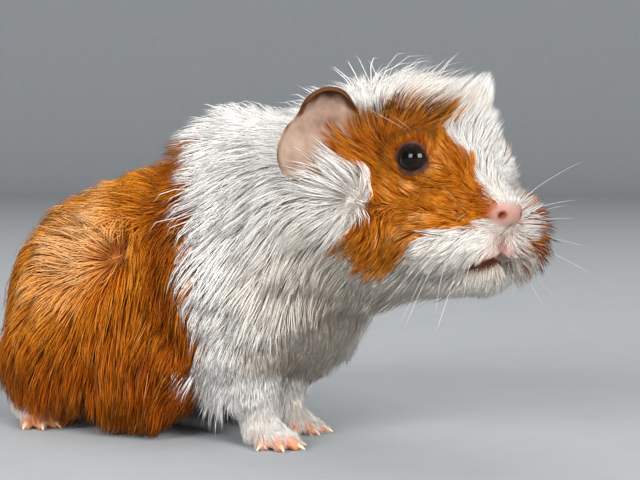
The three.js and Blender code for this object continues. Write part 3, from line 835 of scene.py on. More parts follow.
BODY_LIE = [
    (-19, -4, 113, -8, -6, 1, 24, 1.1), (-1, -21, 102, -10, 0, 0, 26, 1),
    (12, -28, 93, -9, -2, -4, 26, 1), (-21, -13, 109, -10, -1, 0, 24, 1.1),
    (-10, -25, 99, -7, -5, -5, 26, 1), (-9, -30, 91, -6, -4, -7, 26, 1.05),
    (2, -31, 86, -6, -3, -7, 30, 1), (16, -30, 82, -6, -1, -8, 32, 1),
    (-5, -35, 77, -7, -3, -7, 28, 1.05), (4, -33, 71, -6, -3, -8, 32, 1),
    (17, -29, 70, -5, 0, -9, 32, 0.95), (-7, -38, 63, -6, -2, -8, 28, 1.05),
    (2, -35, 55, -6, -2, -8, 30, 1), (11, -29, 54, -4, -1, -9, 30, 1), (-11, -38, 49, -6, 0, -8, 26, 1),
    (-1, -34, 41, -6, 0, -8, 18, 1), (6, -31, 43, -4, 0, -9, 10, 0.9),
    (20, -23, 52, -4, 2, -9, 18, 0.85), (26, -30, 81, -4, 0, -9, 30, 1),
    (32, -28, 68, -5, 3, -8, 24, 0.9), (29, -20, 53, -6, 4, -7, 18, 0.8),
    (37, -20, 53, -6, 6, -5, 16, 0.8), (17, -15, 36, -4, 4, -8, 12, 0.75),
    (-25, -32, 83, -10, 2, -2, 28, 1), (-28, -34, 77, -9, 1, -4, 26, 1),
    (-30, -36, 67, -1, -2, -10, 28, 1), (-31, -38, 51, -1, 0, -10, 26, 1),
    (-25, -37, 38, -1, 0, -10, 24, 1), (-52, -26, 83, -10, -2, -1, 26, 1.1),
    (-64, -31, 78, -10, -1, -2, 24, 1.1), (-63, -38, 68, -8, 3, 5, 22, 1),
    (-73, -36, 67, -9, 2, 4, 24, 1), (-72, -39, 61, -10, 1, -2, 26, 1),
    (-67, -42, 54, -8, 0, -7, 26, 1), (-57, -42, 55, -2, -1, -10, 26, 1),
    (-46, -41, 57, 2, -1, -10, 26, 1), (-51, -39, 66, 4, 4, 8, 22, 1), (-42, -38, 63, 5, -1, -8, 26, 1),
    (-76, -43, 39, -5, -1, -8, 26, 1), (-57, -42, 37, 0, 0, -10, 28, 1),
    (-46, -42, 34, 2, 0, -10, 28, 1), (-74, -43, 22, -4, -2, -9, 22, 1.2),
    (-57, -40, 18, 0, -1, -10, 20, 1.2), (-88, -42, 24, -3, -2, -9, 22, 1.2),
    (-100, -34, 22, -3, -2, -9, 20, 1.1), (-112, -26, 20, -3, -2, -9, 18, 1),
    (-40, -38, 16, -2, -1, -10, 18, 1.2), (-70, -36, 12, -2, 0, -10, 12, 1),
    (-34, -40, 32, -2, -1, -10, 26, 1.1), (-20, -31, 19, -6, -1, -8, 20, 1.1),
    (-11, -28, 21, -6, 0, -8, 16, 1), (-128, 0, 45, -3, 0, -9, 22, 1),
    (-122, -16, 55, -5, -2, -8, 24, 1), (-118, 0, 70, -7, 0, -6, 26, 1),
    (-121, -20, 30, -4, -1, -9, 20, 1), (-60, 0, 92, -10, 0, 1, 26, 1.1),
    (-92, 0, 83, -10, 0, -3, 26, 1.1), (-40, 0, 100, -10, 0, 2, 26, 1.1),
    (-30, -12, 108, -10, -2, 1, 26, 1.1), (20, 0, 108, -9, 0, 3, 20, 1.0),
    (5, 0, 110, -10, 0, 3, 22, 1.1), (-60, 0, 9, -10, 0, 0, 10, 0.8), (-90, 0, 9, -10, 0, 0, 8, 0.8),
    (-20, 0, 17, -9, 0, -3, 10, 0.8), (15, 0, 33, -5, 0, -8, 10, 0.75),
    (28, 0, 48, -6, 0, -7, 12, 0.75), (30, 0, 56, -7, 0, -6, 13, 0.85),
    (-4, -21, 26, 0, 0, -10, 10, 0.7), (4, -14, 25, 1, 0, -10, 8, 0.6),
    (-4, -19, 14, 1, 0, -10, 6, 0.6), (2, -14, 12, 3, 0, -9, 5, 0.6), (-8, -14, 14, -1, 0, -10, 6, 0.6),
    (3, -15, 8, 7, -2, -7, 4.5, 0.8), (12, -17, 5, 10, -2, -2, 2.0, 0.8),
    (-12, -8, 24, 0, 0, -10, 8, 0.7), (-106, -24, 9, 6, -3, -7, 7, 0.9),
    (-97, -29, 7, 8, -5, -3, 4, 0.8), (-88, -35, 5, 8, -5, -2, 2.0, 0.8),
]


def lie_rows():
    """Both tables in the body's frame, with the flanks' rows again on the left."""
    head = np.array(HEAD_LIE, float)
    twice = head[(head[:, 1] < -3) & (head[:, 2] < 28)] * [1, -1, 1, 1, -1, 1, 1, 1]
    front = 1 / (1 + np.exp(-(twice[:, 0] + 21) / 2))
    twice[:, 4] += 6 * front
    twice[:, 6:] *= 1 + front[:, None] * [0.6, 1.4]
    head = np.concatenate([head, twice])
    head[:, :3], head[:, 3:6] = on_head(head[:, :3]), head[:, 3:6] @ HEAD_AXES.T
    body = np.array(BODY_LIE, float)
    body = np.concatenate([body, body[body[:, 1] < -3] * [1, -1, 1, 1, -1, 1, 1, 1]])
    rows = np.concatenate([head, body])
    rows[:, 3:6] = unit(rows[:, 3:6])
    return rows


LIE = lie_rows()
print("rows of lie:", len(LIE))


def lie_at(points, reach=4.0):
    """Way, length and stand at each point: a mean of the rows weighted 1/(distance^2 + reach^2)^2.5."""
    found = []
    for i in range(0, len(points), BATCH):
        gap = ((points[i:i + BATCH, None] - LIE[None, :, :3]) ** 2).sum(2) + reach**2
        weight = gap**-2.5
        found.append((weight / weight.sum(1, keepdims=True)) @ LIE[:, 3:])
    found = np.concatenate(found)
    return found[:, :3], found[:, 3], found[:, 4]


# %% [markdown]
# ## Growing the hair
# Roots are scattered over the skin's triangles, more to the square millimetre where the hair is
# short. Each tuft sets out from its root, climbs towards its share of the coat's depth and follows
# the lie, step by step. Then neighbours are drawn together towards their tips, so that the coat
# parts into pointed locks.

# %% Where the roots are
def density(points):
    """Roots to the square millimetre."""
    inside = from_head(points)
    found = survey(points)
    _, length, _ = lie_at(points)
    many = np.interp(length, [2, 4, 8, 12, 20, 30], [4.2, 5.0, 4.5, 2.6, 1.16, 0.81])
    many = many * (1 + 0.35 * bump_at(points, (8, 0, 45), (26, 60, 30)))
    many = many * (1 - 0.25 * found[:, 3] - 0.7 * found[:, 4] * (points[:, 2] < 4.6))
    many = many * np.interp(points[:, 2], [9, 16], [0.6, 1]) ** (points[:, 0] < 0)
    many = many * (1 + 0.8 * bump_at(points, (-60, -40, 62), (9, 20, 9)))
    many = many * (1 + 0.7 * bump_at(inside, (-7, 8, 6), (5, 5, 6)))
    pad = from_masses(inside, NOSE_PAD)[:, 0]
    many = many * (pad > np.where(inside[:, 2] > 2.4, -0.3, 0.35))
    many = many * (1 - 0.8 * bump_at(points, WHORL, (5, 7, 5)))
    for sign in (-1, 1):
        _, radius, off = round_eye(inside, sign)
        many = many * ~((radius < 9) & (off < OPENING + 0.09)) * (1 + 0.5 * np.exp(-((radius / 10) ** 4)))
    off, slit = mouth_line(inside)
    many = many * (1 - slit * (off > -0.85) * (off < 1.2))
    many = many * (1 - 0.65 * bump_at(inside, (-4, -1, -9.5), (5, 4.5, 5)))
    many = many * (1 - 0.45 * slit * np.exp(-(((off - 2.2) / 2) ** 2)))
    return many * (points[:, 2] > 2.2)


def scatter(points, triangles, random):
    """Places on the triangles, in number area·density, each where two random shares put it."""
    a, b, c = points[triangles[:, 0]], points[triangles[:, 1]], points[triangles[:, 2]]
    area = np.linalg.norm(np.cross(b - a, c - a), axis=1) / 2
    wanted = np.cumsum(area * density((a + b + c) / 3))
    at = np.arange(int(wanted[-1])) + random.uniform(0, 1, int(wanted[-1]))
    which = np.searchsorted(wanted, at).clip(0, len(wanted) - 1)
    s, t = random.uniform(0, 1, (2, len(which), 1))
    over = s + t > 1
    s, t = np.where(over, 1 - s, s), np.where(over, 1 - t, t)
    return a[which] + (b[which] - a[which]) * s + (c[which] - a[which]) * t


random = np.random.default_rng(5)
roots = scatter(skin_points, skin_triangles, random)
print("roots:", len(roots))


# %% Growing and gathering
def grow(roots, lengths, stands, segments, random):
    """The path of each tuft. A step goes along the lie, and up or down towards a height of
    depth·stand·(1 - (1 - t)^2) over the root, and keeps some of the last step's way, so hair bends
    slowly. Long hair whose lie leads away from the skin hangs free. Each point is first lifted
    towards a quarter of the coat's depth over the root, so that no tuft sinks into the skin."""
    splits = 2 if segments > 3 else 1
    count = segments * splits
    stride = lengths / count
    place, path, before = roots, [roots], None
    turn = 0.22 * waves(roots, 14, 21) + random.normal(0, 0.10, len(roots))
    for step in range(count):
        found, up, _ = rise(place, 0.4)
        if step == 0:
            base = found[:, 0].clip(0, 1)
        else:
            place = place + up * (base + 0.25 * found[:, 1] - found[:, 0]).clip(0, 1.5)[:, None]
            path[-1] = place
        way, _, _ = lie_at(place)
        off = (way * up).sum(1, keepdims=True)
        hang = np.clip(off - 0.2, 0, 1) * (lengths > 12)[:, None]
        way = unit(way - up * (off - hang))
        side = np.cross(up, way)
        way = way * np.cos(turn)[:, None] + side * np.sin(turn)[:, None]
        share = (step + 1) / count
        wanted = base + found[:, 1] * stands * (1 - (1 - share) ** 2)
        steepest_down = -0.7 * (hang[:, 0] == 0)
        climb = ((wanted - np.maximum(found[:, 0], base)) / stride).clip(steepest_down, 1.6)
        way = unit(way + up * climb[:, None])
        if before is not None:
            way = unit(way * 0.6 + before * 0.4)
        before = way
        place = place + way * stride[:, None]
        path.append(place)
    path = np.stack(path[::splits], 1)
    side = unit(np.cross(path[:, -1] - path[:, 0], unit(roots - roots.mean(0)) + 0.01))
    share = np.linspace(0, 1, segments + 1)[None, :]
    phase = 5 * waves(roots, 16, 22)[:, None] + random.uniform(0, 1.6, (len(roots), 1))
    bend = 0.028 * lengths[:, None] * share * np.sin(share * lengths[:, None] / 3.2 + phase)
    return path + side[:, None] * bend[..., None]


MIXER = np.array([[127.1, 269.5, 113.5], [311.7, 183.3, 271.9], [74.7, 246.1, 124.6]])


def cells_of(points, size, seed):
    """The number of the nearest of many scattered middles, one in every cube of a grid, and a
    random share for it."""
    cube = np.floor(points / size)
    best, owner = np.full(len(points), 1e9), np.zeros(len(points), np.int64)
    for step in np.ndindex(3, 3, 3):
        near = cube + np.array(step) - 1
        jitter = np.modf(np.abs(np.sin(near @ MIXER + seed) * 43758.5453))[0]
        gap = (((near + jitter) * size - points) ** 2).sum(1)
        key = ((near + 500) @ np.array([1e6, 1e3, 1])).astype(np.int64)
        owner = np.where(gap < best, key, owner)
        best = np.minimum(best, gap)
    names, owner = np.unique(owner, return_inverse=True)
    return owner, np.random.default_rng(seed).uniform(0, 1, len(names))[owner]


def gathered(paths, owner, strength, power=1.3):
    """Paths drawn towards the mean path of their lock: p + strength·t^power·(mean - p)."""
    count = np.bincount(owner)[:, None]
    flat = paths.reshape(len(paths), -1)
    mean = np.stack([np.bincount(owner, flat[:, k]) for k in range(flat.shape[1])], 1) / count
    mean = mean[owner].reshape(paths.shape)
    share = np.linspace(0, 1, paths.shape[1])[None, :, None] ** power
    return paths + (mean - paths) * share * np.reshape(strength, (-1, 1, 1))


def clear_of_face(paths):
    """True for tufts that don't lie over an eye, the nose or the mouth's slit."""
    inside = from_head(paths.reshape(-1, 3))
    bad = (from_masses(inside, NOSE_PAD)[:, 0] < 0.05) & (inside[:, 2] < 2.2)
    for sign in (-1, 1):
        _, radius, off = round_eye(inside, sign)
        bad |= (radius < EYE_RADIUS + 3) & (off < OPENING + 0.03)
    off, slit = mouth_line(inside)
    bad |= (np.abs(off) < 0.8) & (slit > 0.5)
    return ~bad.reshape(paths.shape[:2])[:, 1:].any(1)


# %% [markdown]
# A tuft is a thin pointed prism with three sides, flatter than it is wide, closed at its root. It
# carries four numbers for its colour: how far along it a point is, a tone shared by its lock, which
# also carries painted shade and a painted highlight by region, a dark tip, and a second random tone of
# its own. Its map for the bake is a patch 0.003 across at the place of its root on an unwrap of the
# skin: the share of the body line against the angle round it, with the legs in a strip of their own.

# %% Tufts as meshes
BAKE_PATCH = 0.003  # of the map's width


def unwrap(points, legness):
    """u is the nearest share of the body line, and v the angle round it. Legs go beside that."""
    fine = np.linspace(0, 1, 120)
    line, way = along_line(fine)
    u, v = np.empty(len(points)), np.empty(len(points))
    for i in range(0, len(points), BATCH):
        part = points[i:i + BATCH]
        near = ((part[:, None] - line) ** 2).sum(2).argmin(1)
        gap = part - line[near]
        side = unit(np.cross(way[near], [0.0, 0.0, 1.0]))
        up = np.cross(side, way[near])
        ahead = (gap * way[near]).sum(1)
        u[i:i + BATCH] = fine[near] + ahead / 220
        v[i:i + BATCH] = np.arctan2((gap * up).sum(1), (gap * side).sum(1)) / (2 * math.pi) + 0.5
    angle = np.arctan2(points[:, 1] - np.sign(points[:, 1]) * 15, points[:, 0] + 4) / 6.2832 + 0.5
    fore = points[:, 0] > WAIST
    leg_v = (angle + 2 * (points[:, 1] > 0) + fore) / 4
    return np.where(legness > 0.5, 1.35 + points[:, 2] / 100, u), np.where(legness > 0.5, leg_v, v)


def tufts(name, paths, widths, ups, paint, places, material):
    """Three-sided pointed prisms along paths: ring j has radius width/2·profile(j), squeezed to
    0.6 along the way up, and the last point is the tip."""
    number, count = len(paths), paths.shape[1] - 1
    along = unit(np.gradient(paths, axis=1))[:, :count]
    side = unit(np.cross(along, ups[:, None]))
    up = np.cross(side, along)
    share = np.arange(count) / count
    profile = (0.55 + 1.4 * share) * (1 - share) ** 0.75 + 0.12
    radius = widths[:, None] / 2 * profile
    angle = np.radians([90, 210, 330])
    ring = np.cos(angle)[:, None] * side[:, :, None] + 0.6 * np.sin(angle)[:, None] * up[:, :, None]
    rings = paths[:, :count, None] + ring * radius[..., None, None]
    points = np.concatenate([rings.reshape(number, -1, 3), paths[:, -1:]], 1)
    corner = np.arange(3)
    after = (corner + 1) % 3
    quads = np.concatenate([np.stack([j * 3 + corner, j * 3 + 3 + corner, j * 3 + 3 + after,
                                      j * 3 + after], -1) for j in range(count - 1)])
    last = (count - 1) * 3
    triangles = np.stack([last + corner, np.full(3, 3 * count), last + after], -1)
    triangles = np.concatenate([triangles, [[0, 1, 2]]])
    start = (np.arange(number) * (3 * count + 1))[:, None, None]
    mesh = mesh_of(name, placed(points.reshape(-1, 3)), (quads + start).reshape(-1, 4),
                   (triangles + start).reshape(-1, 3))
    shares = np.append(np.repeat(share, 3), 1.0)
    colour = np.empty((number, 3 * count + 1, 4))
    colour[..., 0], colour[..., 1:] = shares, paint[:, None]
    put_attribute(mesh, "hair", colour.reshape(-1, 4))
    local = np.stack([np.append(np.tile([0.1, 0.5, 0.9], count), 0.4), shares], -1)
    corners = np.concatenate([quads.ravel(), triangles.ravel()])
    four, three = len(quads) * 4, len(triangles) * 3
    span = places.max(0) - places.min(0)
    origin = 0.005 + (places - places.min(0)) / np.maximum(span, 1e-6) * 0.985
    maps = origin[:, None] + BAKE_PATCH * local[corners][None]
    flat = np.concatenate([maps[:, :four].reshape(-1, 2), maps[:, four:four + three].reshape(-1, 2)])
    mesh.uv_layers.new(name="OFBake").data.foreach_set("uv", flat.astype(np.float32).ravel())
    return piece_of(name, mesh, material)


# %% [markdown]
# ## Finishes
# Sums on a surface are written as plain expressions: a wire stands for a socket, and arithmetic on
# wires adds the nodes. Any other node comes from one method.

# %% Wires and nodes
class Wire:
    """A socket of a material's tree that can be added, multiplied and so on."""

    def __init__(self, finish, socket):
        self.finish, self.socket = finish, socket

    def sum(self, operation, *values):
        return self.finish.node("ShaderNodeMath", {"operation": operation}, values)

    def __add__(self, other):
        return self.sum("ADD", self, other)

    def __sub__(self, other):
        return self.sum("SUBTRACT", self, other)

    def __rsub__(self, other):
        return self.sum("SUBTRACT", other, self)

    def __mul__(self, other):
        return self.sum("MULTIPLY", self, other)

    def __truediv__(self, other):
        return self.sum("DIVIDE", self, other)

    def clipped(self):
        return self.finish.node("ShaderNodeClamp", {}, {"Value": self}, "Result")


class Finish:
    """A material, its tree and its Principled shader."""

    def __init__(self, name, **constants):
        self.material = bpy.data.materials.new(name)
        self.material.use_nodes = True
        self.tree = self.material.node_tree
        self.shader = self.tree.nodes["Principled BSDF"]
        for socket, value in constants.items():
            self.shader.inputs[socket.replace("_", " ")].default_value = value

    def node(self, kind, settings, inputs, out=0):
        """A node of a type, with its settings and then its sockets' values or links."""
        made = self.tree.nodes.new(kind)
        for key, value in settings.items():
            if key == "stops":
                while len(made.color_ramp.elements) < len(value):
                    made.color_ramp.elements.new(0.5)
                for stop, (place, colour) in zip(made.color_ramp.elements, value):
                    stop.position, stop.color = place, (*colour, 1)
            else:
                setattr(made, key, value)
        for key, value in inputs.items() if isinstance(inputs, dict) else enumerate(inputs):
            if isinstance(value, Wire):
                self.tree.links.new(value.socket, made.inputs[key])
            else:
                made.inputs[key].default_value = value
        return Wire(self, made.outputs[out])

    def attribute(self, name):
        """The four numbers of a colour attribute as wires."""
        read = self.node("ShaderNodeAttribute", {"attribute_name": name}, {}, "Color")
        alpha = Wire(self, read.socket.node.outputs["Alpha"])
        parts = self.node("ShaderNodeSeparateColor", {}, {"Color": read}, "Red")
        return [parts, *(Wire(self, parts.socket.node.outputs[c]) for c in ("Green", "Blue")), alpha]

    def noise(self, size, detail=2):
        """Noise with lumps of about size in metres."""
        place = self.node("ShaderNodeTexCoord", {}, {}, "Object")
        sockets = {"Vector": place, "Scale": 1 / size, "Detail": detail}
        return self.node("ShaderNodeTexNoise", {}, sockets, "Fac")

    def ramp(self, factor, *stops):
        return self.node("ShaderNodeValToRGB", {"stops": stops}, {"Fac": factor}, "Color")

    def mix(self, factor, a, b, blend="MIX"):
        """A colour between a and b."""
        made = self.tree.nodes.new("ShaderNodeMix")
        made.data_type, made.blend_type = "RGBA", blend
        for place, value in ((0, factor), (6, a), (7, b)):
            if isinstance(value, Wire):
                self.tree.links.new(value.socket, made.inputs[place])
            else:
                made.inputs[place].default_value = value if place == 0 else (*value, 1)
        return Wire(self, made.outputs[2])

    def bump(self, height, distance, strength):
        settings = {"Height": height, "Distance": distance, "Strength": strength}
        return self.node("ShaderNodeBump", {}, settings, "Normal")

    def into(self, **links):
        for socket, wire in links.items():
            self.tree.links.new(wire.socket, self.shader.inputs[socket.replace("_", " ")])
        return self.material


# %% [markdown]
# Hair is darker and deeper in colour at its root, where the light hardly comes, and bleached at its
# tip. No two locks are quite the same tone, and the tone also carries painted shade on the undersides,
# low on the flanks, on the crown and behind the mane, and a painted highlight on the flank. The brow's
# hair has dark brown tips.

# %% Hair
def hair_finish(name, root, middle, tip, dark, bleach_and_highlight, rough, glow=0.0):
    made = Finish(name, Roughness=rough, Specular_IOR_Level=0.08, Subsurface_Weight=glow,
                  Subsurface_Scale=0.001)
    made.shader.inputs["Subsurface Radius"].default_value = (1.0, 1.0, 1.0)
    along, tone, tick, own = made.attribute("hair")
    colour = made.ramp((along + (own - 0.5) * 0.3).clipped(), (0.0, root), (0.42, middle), (1.0, tip))
    # Low-tone locks go towards dark: random tone, and painted shade where the tone was lowered.
    light = made.mix((tone * 0.8 + own * 0.2).clipped(), dark, (1.0, 1.0, 1.0))
    colour = made.mix(1.0, colour, light, "MULTIPLY")
    mottle = made.noise(0.0035)
    # High-tone locks are paler at the tip: bleached hair, and on the flank a painted highlight.
    colour = made.mix(((tone - 0.72) * 2.4 * along).clipped(), colour, bleach_and_highlight)
    colour = made.mix((mottle * 0.35).clipped(), colour, light, "MULTIPLY")
    pale = ((own - 0.95) * 20).clipped() * along
    colour = made.mix((pale * 0.6).clipped(), colour, bleach_and_highlight)
    colour = made.mix((tick * (along * 3.0 - 0.8).clipped()).clipped(), colour, (0.045, 0.016, 0.006))
    return made.into(Base_Color=colour, Roughness=(mottle * 0.2 + rough - 0.1))


ginger_hair = hair_finish("ginger_hair", (0.36, 0.080, 0.002), (0.66, 0.200, 0.006),
                          (0.84, 0.36, 0.030), (0.44, 0.25, 0.10), (0.88, 0.51, 0.22), 0.5)
white_hair = hair_finish("white_hair", (0.94, 0.90, 0.84), (0.98, 0.96, 0.925),
                         (0.985, 0.965, 0.935), (0.66, 0.58, 0.48), (0.98, 0.97, 0.95), 0.5, 0.6)

# %% [markdown]
# Skin under the coat carries the same markings as the hair over it, and under ginger it is a deep ginger
# that is partly painted shade beneath the fur. Where it is bare it is pink, with fine creases and pores.
# It is nearly black round the eyes; the nostrils' pits are painted nearly black as shade, with a fainter
# painted shade round them, and the mouth's slit is painted dark brown, near black in its middle as painted
# shade.

# %% Skin
def skin_finish():
    made = Finish("skin", Subsurface_Weight=0.2, Subsurface_Scale=0.0012, Specular_IOR_Level=0.16)
    made.shader.inputs["Subsurface Radius"].default_value = (1.0, 0.35, 0.2)
    ginger, pink, dark, mouth = made.attribute("skin")
    grain, blotch = made.noise(0.0005, 3), made.noise(0.004, 2)
    white = made.ramp(blotch, (0.3, (0.72, 0.63, 0.56)), (0.7, (0.80, 0.73, 0.66)))
    # Under ginger hair the skin is a deep ginger, partly painted shade beneath the fur.
    under = made.ramp(blotch, (0.3, (0.30, 0.085, 0.015)), (0.7, (0.42, 0.14, 0.025)))
    bare = made.ramp(blotch, (0.3, (0.20, 0.027, 0.012)), (0.7, (0.26, 0.046, 0.023)))
    place = made.node("ShaderNodeTexCoord", {}, {}, "Object")
    height = made.node("ShaderNodeSeparateXYZ", {}, {"Vector": place}, "Z")
    bare = made.mix(((0.016 - height) / 0.006).clipped(), bare, (0.58, 0.235, 0.12))
    colour = made.mix(ginger, white, under)
    colour = made.mix((pink * 1.1).clipped(), colour, bare)
    pores = made.ramp(grain, (0.2, (0.88, 0.86, 0.86)), (0.8, (1.0, 1.0, 1.0)))
    colour = made.mix(1.0, colour, pores, "MULTIPLY")
    petal, rim, front, lobe = made.attribute("ear")
    hollow = made.ramp(blotch, (0.3, (0.20, 0.125, 0.092)), (0.7, (0.32, 0.22, 0.17)))
    soft = made.ramp(blotch, (0.3, (0.25, 0.17, 0.125)), (0.7, (0.33, 0.235, 0.18)))
    back = made.mix(lobe, (0.20, 0.085, 0.035), (0.46, 0.27, 0.20))
    leaf = made.mix(front, back, made.mix(lobe, hollow, soft))
    # Dark brown rim: the ear's back over the fold, and painted shade just under it.
    leaf = made.mix((rim + (blotch - 0.5) * 0.4 * rim).clipped(), leaf, (0.085, 0.030, 0.011))
    colour = made.mix(petal, colour, leaf)
    # The mouth's slit: dark brown, and near black in its middle as painted shade in the crease.
    colour = made.mix((mouth * 1.3).clipped(), colour, (0.17, 0.065, 0.028))
    colour = made.mix((mouth * 2.6 - 1.5).clipped(), colour, (0.04, 0.011, 0.005))
    # Dark lid skin round the eyes, and painted shade in and round the nostrils.
    colour = made.mix((dark * 1.5).clipped(), colour, (0.17, 0.08, 0.055))
    colour = made.mix((dark * 2.2 - 0.9).clipped(), colour, (0.014, 0.006, 0.005))
    rough = 0.62 - pink * 0.14 + dark * 0.25 + grain * 0.1
    return made.into(Base_Color=colour, Roughness=rough, Normal=made.bump(grain, 0.00012, 0.7))


skin_material = skin_finish()


# %% [markdown]
# ## Putting the skin together
# The ears join the skin's mesh, so that one piece stands for all the flesh. The upper rim of an
# ear is dark brown: the brown back seen over the fold, and painted shade where the fold darkens the
# hollow under it. Its hollow is a greyish pink.

# %% The skin with its ears
def whole_skin():
    """The body's skin and both ears as one mesh with its colours."""
    shapes = [(skin_points, np.empty((0, 4)), skin_triangles), *[shape for shape, _ in ears]]
    points, quads, triangles = merged(shapes)
    mesh = mesh_of("skin", placed(points), quads, triangles)
    masks = [skin_masks(skin_points)]
    petals = [np.zeros((len(skin_points), 4))]
    for shape, paint in ears:
        along, across, over, front = paint.T
        masks.append(np.zeros((len(paint), 4)))
        # rim: the rolled fold, reaching a little onto the hollow under it as painted shade.
        rim = 1 / (1 + np.exp((0.5 + 0.25 * np.sin(along * 1.3) - over) / 0.12))
        lobe = 1 / (1 + np.exp((across + 0.45 * (15 - along) - 1) / 1.6))
        petals.append(np.stack([np.ones(len(paint)), rim, front, lobe], -1))
    put_attribute(mesh, "skin", np.concatenate(masks))
    put_attribute(mesh, "ear", np.concatenate(petals))
    return mesh


skin_piece = piece_of("skin_all_over", facing_out(whole_skin()), skin_material)
bpy.data.meshes.remove(skin)
FLESH = ["nose", "ear_right", "ear_left", "rump", "trunk", "shoulders", "neck", "jaw", "muzzle", "head"]
FLESH += [f"{part}_{side}" for part in ("foreleg", "forefoot", "hindfoot", "thigh") for side, _ in SIDES]
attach(skin_piece, "root")
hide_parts(*FLESH)

# %% [markdown]
# ## Eyes and claws
# An eye is a smooth wet ball of a brown that is nearly black, a little bulged where it looks out;
# a fine mesh keeps its highlights round. Claws are short curved cones of pale horn, pinkish at
# the quick.

# %% Eyes
def eye_finish():
    made = Finish("eye", Roughness=0.05, Specular_IOR_Level=0.2)
    streaks = made.noise(1 / 900, 3)
    pupil, *_ = made.attribute("iris")
    brown = made.ramp(streaks, (0.3, (0.006, 0.003, 0.002)), (0.8, (0.016, 0.007, 0.004)))
    return made.into(Base_Color=made.mix(pupil, brown, (0.002, 0.002, 0.002)))


def ball(rings, sides, middle, radius, way):
    """point(u, a) = middle + radius·bulge(u)·(cos u·way + sin u·(cos a·side + sin a·up)), a ball
    whose pole looks along way, with bulge(u) = 1 + 0.035·exp(-(u/0.75)^2)."""
    side = unit(np.cross(way, [0.0, 0.0, 1.0]))
    up = np.cross(side, way)
    u = (np.arange(rings) + 0.5) / rings * math.pi
    angle = np.linspace(0, 2 * math.pi, sides, endpoint=False)
    around = np.cos(angle)[:, None] * side + np.sin(angle)[:, None] * up
    bulge = 1 + 0.035 * np.exp(-((u / 0.75) ** 2))
    points = np.cos(u)[:, None, None] * way + np.sin(u)[:, None, None] * around
    points = middle + radius * (points * bulge[:, None, None]).reshape(-1, 3)
    ends = np.stack([middle + way * radius * 1.035, middle - way * radius])
    swing = np.concatenate([np.repeat(u, sides), [0, math.pi]])
    return (np.concatenate([points, ends]), *capped_faces(rings, sides)), swing


eye_material = eye_finish()
for side, sign in SIDES:
    shape, swing = ball(40, 56, EYE * [1, sign, 1], EYE_RADIUS, EYE_WAY * [1, sign, 1])
    mesh = mesh_of(f"eyeball_{side}", placed(on_head(shape[0])), *shape[1:])
    pupil = 1 / (1 + np.exp((swing - 0.5) / 0.05))
    put_attribute(mesh, "iris", np.stack([pupil] * 4, -1))
    eyeball = piece_of(f"eyeball_{side}", facing_out(mesh), eye_material)
    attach(eyeball, "root")
    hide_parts(f"eye_{side}")


# %% Claws
def claw_finish():
    made = Finish("claw_horn", Roughness=0.35, Subsurface_Weight=0.3, Subsurface_Scale=0.001)
    share, *_ = made.attribute("claw")
    grain = made.noise(0.0006, 3)
    colour = made.ramp((share + (grain - 0.5) * 0.25).clipped(), (0.0, (0.60, 0.33, 0.22)),
                       (0.45, (0.62, 0.46, 0.31)), (1.0, (0.68, 0.58, 0.43)))
    return made.into(Base_Color=colour, Normal=made.bump(grain, 0.0001, 0.5))


def claw(tip, way):
    """A cone carried along a curve that leaves the toe and bends down: path(t) =
    tip + way·(0.3 + 3.4·t) + up·(0.3 - 1.2·t^2), with radius 0.95·(1 - 0.92·t)^0.6."""
    t = np.linspace(0, 1, 9)
    path = tip + way * (0.3 + 3.4 * t)[:, None] + np.array([0, 0, 1.0]) * (0.3 - 1.2 * t**2)[:, None]
    return tube(path, 0.95 * (1 - 0.92 * t) ** 0.6, 10), np.append(np.repeat(t, 10), [0, 1])


claw_material = claw_finish()
for side, _ in SIDES:
    for kind in FEET:
        made = [claw(tip, way) for _, _, tip, way in toes_of(side, kind)[2]]
        shape = merged([m[0] for m in made])
        mesh = mesh_of(f"claws_{kind}_{side}", placed(shape[0]), *shape[1:])
        put_attribute(mesh, "claw", np.stack([np.concatenate([m[1] for m in made])] * 4, -1))
        claws = piece_of(f"claws_{kind}_{side}", facing_out(mesh), claw_material)
        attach(claws, "root")
        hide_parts(*[f"{kind}foot_{side}_claw_{i + 1}" for i in range(len(made))])
print("claws done")

# %% [markdown]
# ## The coat
# Tufts are grown in three lots, as long hair needs more rings than short to bend smoothly. Fine
# locks form first and wide ones take them in. A few hairs stand off the rest, and the forelock is
# drawn to a point. White and ginger hair go into separate pieces, each for one part of the body.

# %% Grow the coat
FORELOCK = ((-22, 1, 29), (9, 9, 7))  # its middle in the head's frame and how far it reaches
FORELOCK_TIP = np.array([-12.5, 5.5, 44.5])
MOST_TRIANGLES, FEWEST_TUFTS = 190000, 40  # in one piece of the coat

inside_roots = from_head(roots)
found = survey(roots)
_, lengths, stands = lie_at(roots)
lengths = lengths * random.uniform(0.75, 1.15, len(roots)) * (1 + 0.15 * waves(roots, 12, 31))
off, slit = mouth_line(inside_roots)
above = slit * (off > 0) * (off < 8)
lengths = np.where(above > 0.5, np.minimum(lengths, np.maximum(1.6, (off - 0.9) / 0.62)), lengths)
stray = random.uniform(0, 1, len(roots))
stands = stands * np.where(stray > 0.96, 1.3, random.uniform(0.4, 1.1, len(roots)) ** 0.7)
wisp = (stray > 0.9) * bump_at(inside_roots, (-48, 0, 30), (16, 20, 9))
stands, lengths = stands * (1 + 0.9 * wisp), lengths * (1 + 0.5 * wisp)
_, ragged = cells_of(roots, 11, 44)
lengths = lengths * np.where(lengths > 12, 0.82 + 0.42 * ragged, 1)
segments = np.select([lengths < 5.2, lengths < 18.5], [2, 3], 4)
muzzle = (inside_roots[:, 0] > -22) & (inside_roots[:, 1] > 2)
wander = np.where(muzzle, np.where(inside_roots[:, 2] < 2, 0.42, 0.05), 0.12)
ginger = ginger_at(roots) + wander * random.normal(size=len(roots)) > 0.5
